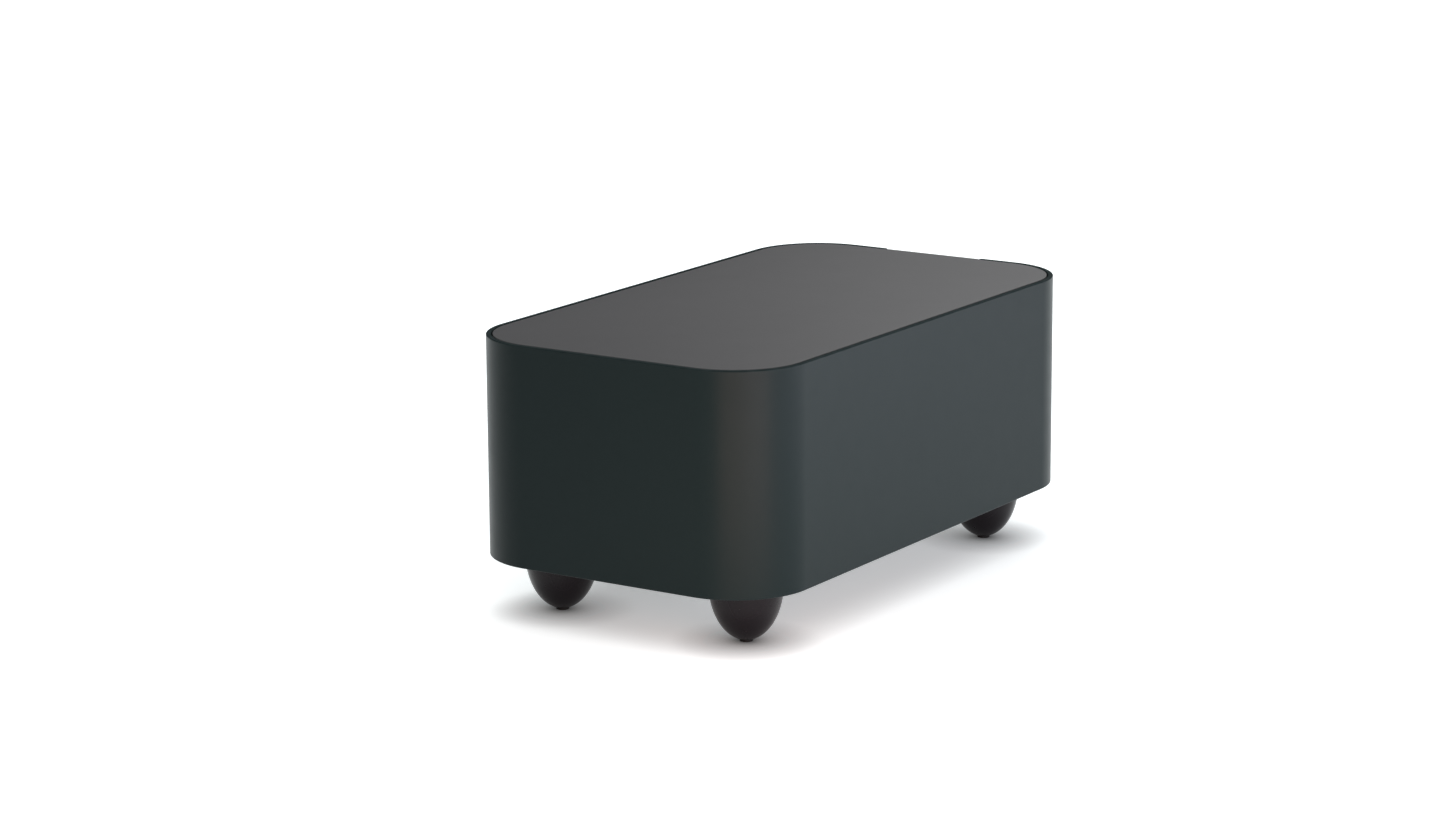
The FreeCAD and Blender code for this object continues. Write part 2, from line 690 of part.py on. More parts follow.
def make_bracket(name):
    """Bend a bracket: its back touches the sleeve and its foot lies on the bottom plate."""
    body = new_body(name)
    profile = new_sketch(body, "profile", "YZ_Plane")
    polygon(profile, [
        ("0", "0"), ("0", "bracket_rise"), ("-bracket_sheet", "bracket_rise"),
        ("-bracket_sheet", "bracket_sheet"), ("-bracket_foot", "bracket_sheet"), ("-bracket_foot", "0")])
    pad(body, profile, "bracket_width", both_ways=True)
    hole = new_sketch(body, "hole")
    circle(hole, "small_screw_radius + thread_play", "0", "-bracket_screw_inset")
    cut_through(body, hole)
    return body


def make_brackets():
    """Make the brackets that hold the sleeve down, and their screws."""
    brackets, screws = [], []
    for number, (across, along, angle) in enumerate(bracket_seats("0"), 1):
        turn = Rotation(Vector(0, 0, 1), angle)
        brackets.append(place(make_bracket(f"bracket_{number}"), across, along, BOTTOM_TOP, turn))
    for number, (across, along, _) in enumerate(bracket_seats("bracket_screw_inset"), 1):
        fastener = screw(f"bracket_screw_{number}", "small_screw_radius", "small_screw_head",
                         "small_screw_head_height", "bottom_sheet + small_screw_reach")
        screws.append(place(fastener, across, along, BOTTOM_LOW, UPSIDE_DOWN))
    return [group("sleeve_brackets", brackets), group("sleeve_screws", screws)]


def make_panel_screws():
    """Make the two screws that hold the rear tongue to the bottom plate's tab."""
    screws = []
    for name, side in CHANNELS.items():
        fastener = screw(f"panel_screw_{name}", "small_screw_radius", "small_screw_head",
                         "small_screw_head_height", "top_sheet + small_screw_reach")
        screws.append(place(fastener, f"{side} * tab_screw_spread / 2", PANEL_OUTER,
                            TAB_SCREW_HEIGHT, FACING_REAR))
    return group("panel_screws", screws)


def make_winding(name):
    """Turn a winding: a ring with a rounded section, hollow where the core lies."""
    body = turned(name, [
        ("winding_bore", "0"), ("winding_radius", "0"), ("winding_radius", "winding_height"),
        ("winding_bore", "winding_height")])
    document.recompute()
    round_edges(body, "outer_edges", "winding_round", level_circle(size("winding_radius")))
    round_edges(body, "bore_edges", "winding_bore_round", level_circle(size("winding_bore")))
    hollow = new_sketch(body, "core_space", "XZ_Plane")
    rectangle(hollow, "winding_bore + winding_build", "winding_radius - winding_build",
              "winding_build", "winding_height - winding_build")
    before = body.Shape.Volume
    groove = body.newObject("PartDesign::Groove", f"{name}_hollow")
    groove.Profile = hollow
    groove.ReferenceAxis = (hollow, ["V_Axis"])
    groove.Angle = 360
    finish_cut(body, groove, before)
    return body


def make_can(name, side):
    """Draw a screening can: an upturned cup over the winding, with holes for the bolt and the grommet."""
    ceiling, top = f"{CAN_CEILING} - {BOTTOM_TOP}", f"{CAN_TOP} - {BOTTOM_TOP}"
    outer = f"{CAN_INNER} + can_sheet"
    body = turned(name, [("0", ceiling), (CAN_INNER, ceiling), (CAN_INNER, "0"), (outer, "0"), (outer, top),
                         ("0", top)])
    document.recompute()
    holes = new_sketch(body, "holes")
    circle(holes, "transformer_bolt_radius + screw_play")
    circle(holes, "grommet_radius + grommet_play", f"{side} * {GROMMET_X}", GROMMET_Y)
    cut_through(body, holes)
    return body


def make_clamp(name):
    """Press a dished clamp washer: a flat middle, a cone and a rim that bears on the can."""
    return turned(name, [
        ("transformer_bolt_radius + screw_play", "clamp_rise"), ("clamp_flat", "clamp_rise"),
        (CLAMP_RADIUS, "0"), (CLAMP_RADIUS, "clamp_sheet"), ("clamp_flat", "clamp_rise + clamp_sheet"),
        ("transformer_bolt_radius + screw_play", "clamp_rise + clamp_sheet")])


def make_grommet(name):
    """Mould a grommet: a bush with a lip above and below the can's sheet."""
    lip = "grommet_radius + grommet_lip"
    return turned(name, [
        ("grommet_bore", "-grommet_lip_height"), (lip, "-grommet_lip_height"), (lip, "0"),
        ("grommet_radius", "0"), ("grommet_radius", "can_sheet"), (lip, "can_sheet"),
        (lip, "can_sheet + grommet_lip_height"), ("grommet_bore", "can_sheet + grommet_lip_height")])


def make_transformers():
    """Make both channels' transformers with all that holds them."""
    nodes, bolts, nuts, washers = [], [], [], []
    bolt_length = f"{NUT_TOP} + transformer_bolt_spare - {BOTTOM_LOW}"
    for name, side in CHANNELS.items():
        along = TRANSFORMER_Y[name]
        core = ring(f"{name}_core", "winding_bore + winding_build + core_wrap",
                    "winding_radius - winding_build - core_wrap", "winding_build + core_wrap",
                    "winding_height - winding_build - core_wrap")
        lower_pad = ring(f"{name}_lower_pad", "transformer_pad_bore", "winding_radius",
                         "0", "lower_pad_sheet")
        upper_pad = ring(f"{name}_upper_pad", "transformer_pad_bore", UPPER_PAD_RADIUS,
                         "0", "upper_pad_sheet")
        nodes.append(place(core, "0", along, WINDING_LOW))
        nodes.append(place(make_winding(f"{name}_winding"), "0", along, WINDING_LOW))
        nodes.append(place(lower_pad, "0", along, BOTTOM_TOP))
        nodes.append(place(upper_pad, "0", along, WINDING_TOP))
        nodes.append(place(make_can(f"{name}_screening_can", side), "0", along, BOTTOM_TOP))
        nodes.append(place(make_clamp(f"{name}_clamp_washer"), "0", along, CAN_TOP))
        nodes.append(place(make_grommet(f"{name}_grommet"), f"{side} * {GROMMET_X}",
                           f"{along} + {GROMMET_Y}", CAN_CEILING))
        bolt = screw(f"{name}_bolt", "transformer_bolt_radius", "transformer_bolt_head",
                     "transformer_bolt_head_height", bolt_length)
        bolts.append(place(bolt, "0", along, BOTTOM_LOW, UPSIDE_DOWN))
        washer = ring(f"{name}_nut_washer", "transformer_bolt_radius + screw_play", "nut_washer_radius",
                      "0", "nut_washer_sheet")
        washers.append(place(washer, "0", along, CLAMP_TOP))
        nut = hex_nut(f"{name}_nut", "nut_across", "transformer_bolt_radius + thread_play", "nut_height")
        nuts.append(place(nut, "0", along, NUT_LOW))
    nodes.append(group("transformer_bolts", bolts))
    nodes.append(group("transformer_nut_washers", washers))
    nodes.append(group("transformer_nuts", nuts))
    return nodes


def make_socket_shell(name):
    """Turn a socket's outer shell: barrel, flange and threaded tail, with one bore."""
    tip = "flange_thickness + barrel_length"
    return turned(name, [
        (SOCKET_BORE, "-socket_thread_length"), ("socket_thread_radius", "-socket_thread_length"),
        ("socket_thread_radius", "0"), ("flange_radius", "0"), ("flange_radius", "flange_thickness"),
        ("barrel_radius", "flange_thickness"), ("barrel_radius", tip), (SOCKET_BORE, tip)])


def make_socket_contact(name):
    """Turn a socket's centre contact: a sleeve for the plug's pin, and a solid tail to solder to."""
    face = "flange_thickness + barrel_length - insulator_recess"
    tail = "-socket_thread_length - contact_tail_length"
    return turned(name, [
        ("0", tail), ("contact_tail_radius", tail), ("contact_tail_radius", "-socket_thread_length"),
        ("contact_radius", "-socket_thread_length"), ("contact_radius", face), ("contact_bore", face),
        ("contact_bore", f"{face} - contact_bore_depth"), ("0", f"{face} - contact_bore_depth")])


def make_tag(name, bore):
    """Stamp a solder tag: a ring with a short tab."""
    body = new_body(name)
    outline = new_sketch(body, "ring")
    circle(outline, "tag_ring_radius")
    pad(body, outline, "tag_sheet")
    tab = new_sketch(body, "tab")
    rectangle(tab, "-tag_width / 2", "tag_width / 2", "0", "tag_reach")
    pad(body, tab, "tag_sheet")
    hole = new_sketch(body, "hole")
    circle(hole, bore)
    cut_through(body, hole)
    return body


def make_sockets():
    """Make the four phono sockets with their insulating rings, tags and nuts."""
    shells, insulators, contacts, collars, washers, tags, nuts = [], [], [], {}, [], [], []
    seat = f"{PANEL_OUTER} + ring_sheet"
    tag_seat = f"{PANEL_INNER} - ring_sheet - tag_sheet"
    for row, height in ROW_HEIGHT.items():
        for channel, side in CHANNELS.items():
            name = f"{channel}_{row}"
            across = f"{side} * socket_spacing / 2"
            shells.append(place(make_socket_shell(f"{name}_socket"), across, seat, height, FACING_REAR))
            contacts.append(place(make_socket_contact(f"{name}_contact"), across, seat, height, FACING_REAR))
            insulator = ring(f"{name}_insulator", "contact_radius + fit_play", f"{SOCKET_BORE} - fit_play",
                             "-socket_thread_length", "flange_thickness + barrel_length - insulator_recess")
            insulators.append(place(insulator, across, seat, height, FACING_REAR))
            bore = "socket_thread_radius + ring_play"
            collar = turned(f"{name}_ring", [
                (bore, "-top_sheet"), (RING_SHOULDER, "-top_sheet"), (RING_SHOULDER, "0"),
                ("ring_radius", "0"), ("ring_radius", "ring_sheet"), (bore, "ring_sheet")])
            collars.setdefault(channel, []).append(place(collar, across, PANEL_OUTER, height, FACING_REAR))
            washer = ring(f"{name}_washer", bore, "ring_radius", "-ring_sheet", "0")
            washers.append(place(washer, across, PANEL_INNER, height, FACING_REAR))
            tag = make_tag(f"{name}_tag", "socket_thread_radius + thread_play")
            outwards = FACING_REAR * Rotation(Vector(0, 0, 1), -side * QUARTER)
            tags.append(place(tag, across, tag_seat, height, outwards))
            nut = hex_nut(f"{name}_nut", "socket_nut_across", "socket_thread_radius + thread_play",
                          "socket_nut_height")
            nuts.append(place(nut, across, f"{tag_seat} - socket_nut_height", height, FACING_REAR))
    rings = [group(f"{channel}_socket_rings", pieces) for channel, pieces in collars.items()]
    nodes = shells + contacts + rings
    nodes += [group("socket_insulators", insulators), group("socket_washers", washers)]
    nodes += [group("socket_tags", tags), group("socket_nuts", nuts)]
    return nodes, contacts


def make_ground_post():
    """Turn the ground post: collar, thread with a peened head, and a threaded shank behind the panel."""
    tip = POST_REACH
    post = turned("ground_post", [
        ("0", "-top_sheet - post_shank_length"), ("post_shank_radius", "-top_sheet - post_shank_length"),
        ("post_shank_radius", "0"), ("post_collar_radius", "0"), ("post_collar_radius", "post_collar_length"),
        ("post_thread_radius", "post_collar_length"), ("post_thread_radius", f"{tip} - post_head_length"),
        ("post_head_radius", f"{tip} - post_head_length"), ("post_head_radius", tip), ("0", tip)])
    return place(post, "0", PANEL_OUTER, GROUND_HEIGHT, FACING_REAR)


def make_thumb_nut():
    """Turn the thumb nut: thread at its inner end, a wide bore for the post's head, and a grooved rim."""
    bore = "post_thread_radius + thumb_nut_play"
    nut = turned("ground_thumb_nut", [
        (bore, "0"), ("thumb_nut_radius - thumb_nut_bevel", "0"), ("thumb_nut_radius", "thumb_nut_bevel"),
        ("thumb_nut_radius", "thumb_nut_length - thumb_nut_bevel"),
        ("thumb_nut_radius - thumb_nut_bevel", "thumb_nut_length"), ("thumb_nut_bore", "thumb_nut_length"),
        ("thumb_nut_bore", "thumb_nut_thread"), (bore, "thumb_nut_thread")])
    document.recompute()
    groove = new_sketch(nut, "groove")
    circle(groove, "thumb_nut_groove_radius", "thumb_nut_radius + thumb_nut_groove_radius / 3")
    cut = cut_through(nut, groove)
    pattern = nut.newObject("PartDesign::PolarPattern", "thumb_nut_grooves")
    pattern.Originals = [cut]
    pattern.Axis = (groove, ["N_Axis"])
    pattern.Angle = 360
    bind(pattern, "Occurrences", "thumb_nut_grooves")
    nut.Tip = pattern
    return place(nut, "0", f"{PANEL_OUTER} + {NUT_SEAT}", GROUND_HEIGHT, FACING_REAR)


def make_ground_terminal():
    """Make the ground terminal: post, clamp washer, thumb nut, and the tag and nut behind the panel."""
    clamp_washer = ring("ground_clamp_washer", "post_thread_radius + clamp_washer_play",
                        "clamp_washer_radius", "0", "clamp_washer_sheet")
    place(clamp_washer, "0", f"{PANEL_OUTER} + post_collar_length + clamp_gap", GROUND_HEIGHT, FACING_REAR)
    tag = make_tag("ground_tag", "post_shank_radius + thread_play")
    upwards = FACING_REAR * Rotation(Vector(0, 0, 1), 2 * QUARTER)
    place(tag, "0", f"{PANEL_INNER} - tag_sheet", GROUND_HEIGHT, upwards)
    nut = hex_nut("ground_nut", "post_nut_across", "post_shank_radius + thread_play", "post_nut_height")
    place(nut, "0", f"{PANEL_INNER} - tag_sheet - post_nut_height", GROUND_HEIGHT, FACING_REAR)
    return [make_ground_post(), clamp_washer, make_thumb_nut(), tag, nut]


def rounded_path(points):
    """Join points by straight runs, with an arc in each corner as large as its shorter run allows."""
    edges = []
    start = points[0]
    for before, corner, after in zip(points, points[1:], points[2:]):
        towards, away = (corner - before).normalize(), (after - corner).normalize()
        turn = towards.getAngle(away)
        reach = ARC_SHARE * min((corner - before).Length, (after - corner).Length)
        radius = reach / math.tan(turn / 2)
        centre_way = (away - towards).normalize()
        centre = corner + centre_way * (radius / math.cos(turn / 2))
        first, last = corner - towards * reach, corner + away * reach
        middle = centre - centre_way * radius
        edges.append(Part.LineSegment(start, first).toShape())
        edges.append(Part.Arc(first, middle, last).toShape())
        start = last
    edges.append(Part.LineSegment(start, points[-1]).toShape())
    return Part.Wire(edges)


def make_lead(name, points, radius):
    """Sweep a round lead along its route."""
    path = rounded_path(points)
    way = points[1] - points[0]
    section = Part.Wire([Part.Circle(points[0], way, radius).toShape()])
    lead = document.addObject("Part::Feature", name)
    lead.Label = name
    lead.Shape = path.makePipeShell([section], True, False)
    expected = math.pi * radius ** 2 * path.Length
    if abs(lead.Shape.Volume / expected - 1) > TUBE_TOLERANCE:
        raise RuntimeError(f"{name} is not a whole tube")
    return lead


def make_signal_leads(contacts):
    """Lead each channel's input and output from its can's grommet to the tails of its sockets."""
    leads = []
    radius, straight = size("lead_radius"), size("lead_straight")
    high = document.getObject("left_input_contact").Shape.BoundBox.Center.z
    low = high - size("lead_row_gap")
    for contact in contacts:
        channel, row = contact.Label.split("_")[:2]
        grommet = document.getObject(f"{channel}_grommet").Shape.BoundBox
        winding = document.getObject(f"{channel}_winding").Shape.BoundBox
        tail = contact.Shape.BoundBox
        lean = CHANNELS[channel] * size("lead_spread")
        end = Vector(tail.Center.x, tail.YMin, tail.Center.z)
        start = Vector(grommet.Center.x, grommet.Center.y, winding.ZMax + size("lead_start_rise"))
        if row == "input":
            start.x += lean
            points = [start, Vector(start.x, start.y, high), Vector(end.x, end.y - straight, high), end]
        else:
            start.x -= lean
            points = [start, Vector(start.x, start.y, low), Vector(end.x, end.y - 2 * straight, low),
                      Vector(end.x, end.y - straight, end.z), end]
        leads.append(make_lead(f"{channel}_{row}_lead", points, radius))
    return leads


def make_ground_lead():
    """Lead the ground tag to the nearer screening can, which it is soldered to."""
    tag = document.getObject("ground_tag").Shape.BoundBox
    can = document.getObject("right_screening_can").Shape.BoundBox
    radius = size("lead_radius")
    play = size("grommet_play")
    height = tag.ZMax - radius
    start = Vector(0, tag.YMin - play, height)
    run = Vector(0, can.YMax + play, height) - start
    sag = Vector(0, 0, GROUND_LEAD_SAG * radius)
    near, middle, far = (start + run * share for share in GROUND_LEAD_BENDS)
    points = [start, near, middle - sag, far, start + run]
    return make_lead("ground_lead", points, radius)


def check(things):
    """Make sure that nothing failed and that each sub-part is a whole, valid solid."""
    for thing in document.Objects:
        if "Invalid" in thing.State or "Error" in thing.State:
            raise RuntimeError(f"{thing.Label} is {thing.State}")
    for thing in things:
        if thing.Shape.isNull() or not thing.Shape.isValid() or not thing.Shape.Solids:
            raise RuntimeError(f"{thing.Label} has no valid solid")


nodes = [make_sleeve(), make_top_plate(), make_bottom_plate()]
nodes += make_feet()
nodes += make_pillars()
nodes += make_brackets()
nodes.append(make_panel_screws())
nodes += make_transformers()
sockets, socket_contacts = make_sockets()
nodes += sockets
nodes += make_ground_terminal()
document.recompute()
nodes += make_signal_leads(socket_contacts)
nodes.append(make_ground_lead())
document.recompute()
check(nodes)
for node in nodes:
    node.Shape.exportStep(f"parts/{node.Label}.step")
    print(f"{node.Label}: {len(node.Shape.Solids)} solid, {node.Shape.Volume:.1f} mm3")
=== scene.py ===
import json
import logging
import math
from collections.abc import Sequence
from dataclasses import dataclass
from enum import Enum

import bmesh
import bpy
import numpy as np
from mathutils import Matrix, Vector


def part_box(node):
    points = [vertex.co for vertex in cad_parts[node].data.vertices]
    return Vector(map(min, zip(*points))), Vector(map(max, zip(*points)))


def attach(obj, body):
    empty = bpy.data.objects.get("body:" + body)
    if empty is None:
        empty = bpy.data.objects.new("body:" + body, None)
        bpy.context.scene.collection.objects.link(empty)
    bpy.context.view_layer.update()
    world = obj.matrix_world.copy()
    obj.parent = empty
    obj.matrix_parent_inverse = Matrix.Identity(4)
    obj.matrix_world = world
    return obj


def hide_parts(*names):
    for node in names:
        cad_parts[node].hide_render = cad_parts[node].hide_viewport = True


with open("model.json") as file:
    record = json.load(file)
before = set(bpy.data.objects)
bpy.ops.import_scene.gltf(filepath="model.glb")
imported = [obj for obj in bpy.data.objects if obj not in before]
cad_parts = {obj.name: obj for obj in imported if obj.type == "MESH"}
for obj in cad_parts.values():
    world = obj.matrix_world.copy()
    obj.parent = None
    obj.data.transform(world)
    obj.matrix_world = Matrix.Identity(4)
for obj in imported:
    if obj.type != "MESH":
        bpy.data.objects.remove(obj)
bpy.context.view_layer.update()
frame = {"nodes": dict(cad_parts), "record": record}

# The looks of a moving coil step-up transformer: a satin dark casing with large round corners
# on four lacquered egg feet, with gilt phono sockets and a ground terminal at the rear.
# Lengths are metres, +Z is up, the short front end faces -Y and the sockets face +Y.

log = logging.getLogger("step_up_transformer")

MM = 0.001
WELD = 1e-6
SHARP_ABOVE = math.radians(38)
ROUND_STEPS = 96
MIRROR = np.array([-1, 1])

Spot = Sequence[float]
Colour = tuple[float, float, float]
Socket = bpy.types.NodeSocket
Feed = Socket | float | Colour
Span = tuple[Socket | float, float]


class Facing(Enum):
    """The way that a turned piece's own axis points, as the rows of a turning matrix."""

    UP = ((1, 0, 0), (0, 1, 0), (0, 0, 1))
    DOWN = ((1, 0, 0), (0, -1, 0), (0, 0, -1))
    REAR = ((1, 0, 0), (0, 0, 1), (0, -1, 0))


def joined(*parts: np.ndarray | float) -> np.ndarray:
    """Spread parts to one shape and set them side by side along a new last axis."""
    return np.stack(np.broadcast_arrays(*parts), axis=-1)


def carried(path: np.ndarray, ways: np.ndarray, section: np.ndarray) -> tuple[np.ndarray, np.ndarray]:
    """Carry the first column of a section along a flat path.

    Args:
        path: The path's points.
        ways: The ways outwards at them.
        section: Rows whose first number is how far outwards they lie.

    Returns:
        The first and the second coordinate, as path points by section rows.
    """
    level = path[:, None] + ways[:, None] * section[None, :, :1]
    return level[..., 0], level[..., 1]


class Surface:
    """A skin put together from grids of points and flat caps."""

    def __init__(self) -> None:
        """Start with no points."""
        self.points: list[np.ndarray] = []
        self.faces: list[list[int]] = []
        self.count = 0

    def _add_points(self, points: np.ndarray) -> int:
        """Keep more points, whose last axis is x, y, z, and give the number of the first of them."""
        first = self.count
        self.points.append(points.reshape(-1, 3))
        self.count += points.size // 3
        return first

    def add_grid(self, grid: np.ndarray, wrap: bool = False) -> None:
        """Span a quad between each four neighbours of a grid.

        Args:
            grid: Points as rows, columns and x, y, z.
            wrap: Whether the last column meets the first.
        """
        rows, columns = grid.shape[:2]
        numbers = self._add_points(grid) + np.arange(rows * columns).reshape(rows, columns)
        if wrap:
            numbers = np.concatenate([numbers, numbers[:, :1]], axis=1)
        quads = joined(numbers[:-1, :-1], numbers[1:, :-1], numbers[1:, 1:], numbers[:-1, 1:])
        self.faces += quads.reshape(-1, 4).tolist()

    def add_cap(self, ring: np.ndarray) -> None:
        """Close a flat ring of points, given in order, with one face."""
        first = self._add_points(ring)
        self.faces.append(list(range(first, first + len(ring))))

    def add_turned(
        self,
        profile: np.ndarray,
        seat: Spot,
        facing: Facing = Facing.REAR,
        steps: int = ROUND_STEPS,
        reach: np.ndarray | None = None,
    ) -> "Surface":
        """Turn a profile about an axis.

        Point (i, j) lies at the angle a = 2 pi j / steps, at the profile's radius i times reach (i, j)
        and at the profile's height i along the axis.

        Args:
            profile: Rows of radius and height. A closed section repeats its first row at its end.
            seat: Where the profile's zero lies.
            facing: The way that heights run.
            steps: How many steps go round.
            reach: Shares of the radius for each row and step, where the piece isn't round.

        Returns:
            This skin.
        """
        angles = np.arange(steps) * (2 * math.pi / steps)
        radii = profile[:, :1] * (np.ones((1, steps)) if reach is None else reach)
        local = joined(radii * np.cos(angles), radii * np.sin(angles), profile[:, 1:])
        self.add_grid(local @ np.array(facing.value, float).T + np.array(seat, float), wrap=True)
        return self

    def to_mesh(self, name: str) -> bpy.types.Mesh:
        """Weld the grids and caps into one mesh whose faces point outwards.

        Args:
            name: The mesh's name.

        Returns:
            The mesh, smooth apart from its sharp corners.
        """
        mesh = bpy.data.meshes.new(name)
        mesh.from_pydata(np.concatenate(self.points).tolist(), [], self.faces)
        skin = bmesh.new()
        skin.from_mesh(mesh)
        bmesh.ops.remove_doubles(skin, verts=skin.verts, dist=WELD)
        bmesh.ops.recalc_face_normals(skin, faces=skin.faces)
        skin.to_mesh(mesh)
        skin.free()
        mesh.shade_smooth()
        mesh.set_sharp_from_angle(angle=SHARP_ABOVE)
        return mesh


def rounded(
    corners: Sequence[Spot], closed: bool = False, steps: int = 5, hold: float = 0.05 * MM
) -> np.ndarray:
    """Draw an outline whose corners are arcs that touch both of their sides.

    An arc leaves each side at radius times tan(turn / 2) from the corner. One more point on each side,
    held just past the arc, keeps the flat beside it flat in the light.

    Args:
        corners: Rows of across, up and radius. A radius of 0 leaves the corner sharp.
        closed: Whether the last corner leads back to the first.
        steps: How many steps an arc has.
        hold: How far past the arc the holding points lie.

    Returns:
        Rows of across and up. A closed outline repeats its first row at its end.
    """
    spots = np.array([corner[:2] for corner in corners], float)
    count = len(spots)
    share = np.linspace(0, 1, steps + 1)[:, None]
    parts = []
    for number, spot in enumerate(spots):
        radius = corners[number][2]
        if radius == 0 or (not closed and number in (0, count - 1)):
            parts.append(spot[None])
            continue
        back = spots[number - 1] - spot
        ahead = spots[(number + 1) % count] - spot
        back, ahead = back / np.linalg.norm(back), ahead / np.linalg.norm(ahead)
        turn = math.pi - math.acos(float(np.clip(back @ ahead, -1, 1)))
        leave = radius * math.tan(turn / 2)
        middle = (back + ahead) / np.linalg.norm(back + ahead)
        centre = spot + middle * radius / math.cos(turn / 2)
        start, end = spot + back * leave - centre, spot + ahead * leave - centre
        arc = centre + (np.sin((1 - share) * turn) * start + np.sin(share * turn) * end) / math.sin(turn)
        parts += [arc[:1] + back * hold, arc, arc[-1:] + ahead * hold]
    if closed:
        parts.append(parts[0][:1])
    return np.concatenate(parts)


@dataclass(frozen=True)
class Thread:
    """A right-hand thread, with its groove's depth as a share of the radius."""

    radius: float
    pitch: float
    share: float
    rows_a_pitch: int

    def cut(self, surface: Surface, seat: Spot, start: float, end: float) -> None:
        """Turn the thread along the rear axis.

        The groove follows height = pitch times turns, and its depth is a triangle wave that fades out
        over one pitch at both ends.

        Args:
            surface: The skin to add to.
            seat: Where the height is zero.
            start: Height of the first row.
            end: Height of the last row.
        """
        heights = np.linspace(start, end, int(abs(end - start) / self.pitch * self.rows_a_pitch) + 1)
        turns = heights[:, None] / self.pitch - np.arange(ROUND_STEPS) / ROUND_STEPS
        wave = 1 - np.abs(2 * np.mod(turns, 1) - 1)
        fade = np.clip(np.minimum(heights - heights.min(), heights.max() - heights) / self.pitch, 0, 1)
        reach = 1 - self.share * wave * fade[:, None]
        surface.add_turned(joined(self.radius, heights), seat, reach=reach)


def middle_of(node: str) -> Vector:
    """Give the middle of a solid's box."""
    low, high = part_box(node)
    return (low + high) / 2


def put(name: str, data: bpy.types.ID) -> bpy.types.Object:
    """Put a new object with this data into the scene."""
    thing = bpy.data.objects.new(name, data)
    bpy.context.scene.collection.objects.link(thing)
    return thing


class Wiring:
    """Lays out the nodes of a material or of the room."""

    def __init__(self, tree: bpy.types.NodeTree) -> None:
        """Start on a tree of nodes."""
        self.tree = tree

    def feed(self, node: bpy.types.Node, values: dict[str | int, Feed]) -> None:
        """Fill a node's inputs.

        Args:
            node: The node.
            values: For each input, the socket that it reads or the value that it holds.
        """
        for key, value in values.items():
            entry = node.inputs[key]
            if isinstance(value, Socket):
                self.tree.links.new(value, entry)
            else:
                entry.default_value = (*value, 1) if entry.type == "RGBA" else value

    def add(
        self, kind: str, values: dict[str | int, Feed] | None = None, out: str | int = 0, **settings: object
    ) -> Socket:
        """Add a node.

        Args:
            kind: The node's type.
            values: What its inputs read or hold.
            out: The output that is wanted.
            settings: The node's own settings.

        Returns:
            That output.
        """
        node = self.tree.nodes.new(f"ShaderNode{kind}")
        for name, setting in settings.items():
            setattr(node, name, setting)
        self.feed(node, values or {})
        return node.outputs[out]

    def calculate(self, operation: str, *values: Socket | float) -> Socket:
        """Work out one sum of one or two values."""
        return self.add("Math", dict(enumerate(values)), operation=operation)

    def ramp(
        self, value: Socket, source: Span = (0.0, 1.0), target: Span = (0.0, 1.0), **settings: str
    ) -> Socket:
        """Turn a value that runs along one span into one that runs along another.

        Args:
            value: The value to turn.
            source: Where it starts and ends.
            target: What comes out at its start and end.
            settings: The node's own settings.

        Returns:
            The socket that holds what comes out.
        """
        names = ("From Min", "From Max", "To Min", "To Max")
        return self.add("MapRange", {"Value": value, **dict(zip(names, (*source, *target)))}, **settings)


class Grain(Enum):
    """The fine texture of a finish, as the scales of its noise along x, y and z."""

    EVEN = (1.0, 1.0, 1.0)
    DRAWN = (1.0, 0.02, 1.0)
    TURNED = (0.05, 0.05, 1.0)
    WRAPPED = (1.0, 1.0, 0.05)


@dataclass(frozen=True)
class Finish:
    """What a piece is coated with or made of. Colours are linear."""

    colour: Colour
    roughness: float
    metallic: float = 0.0
    specular: float = 0.5
    grain: Grain = Grain.EVEN
    grain_size: float = 0.5 * MM
    grain_depth: float = 0.002 * MM
    mottle: float = 0.06
    mottle_size: float = 25 * MM
    gloss_spread: float = 0.04
    matt_above: float | None = None
    worn: Colour | None = None
    wear: float = 0.5
    worn_roughness: float = 0.30
    edge_reach: float = 0.25 * MM
    edge_heights: tuple[float, ...] = ()
    wear_size: float = 1.5 * MM


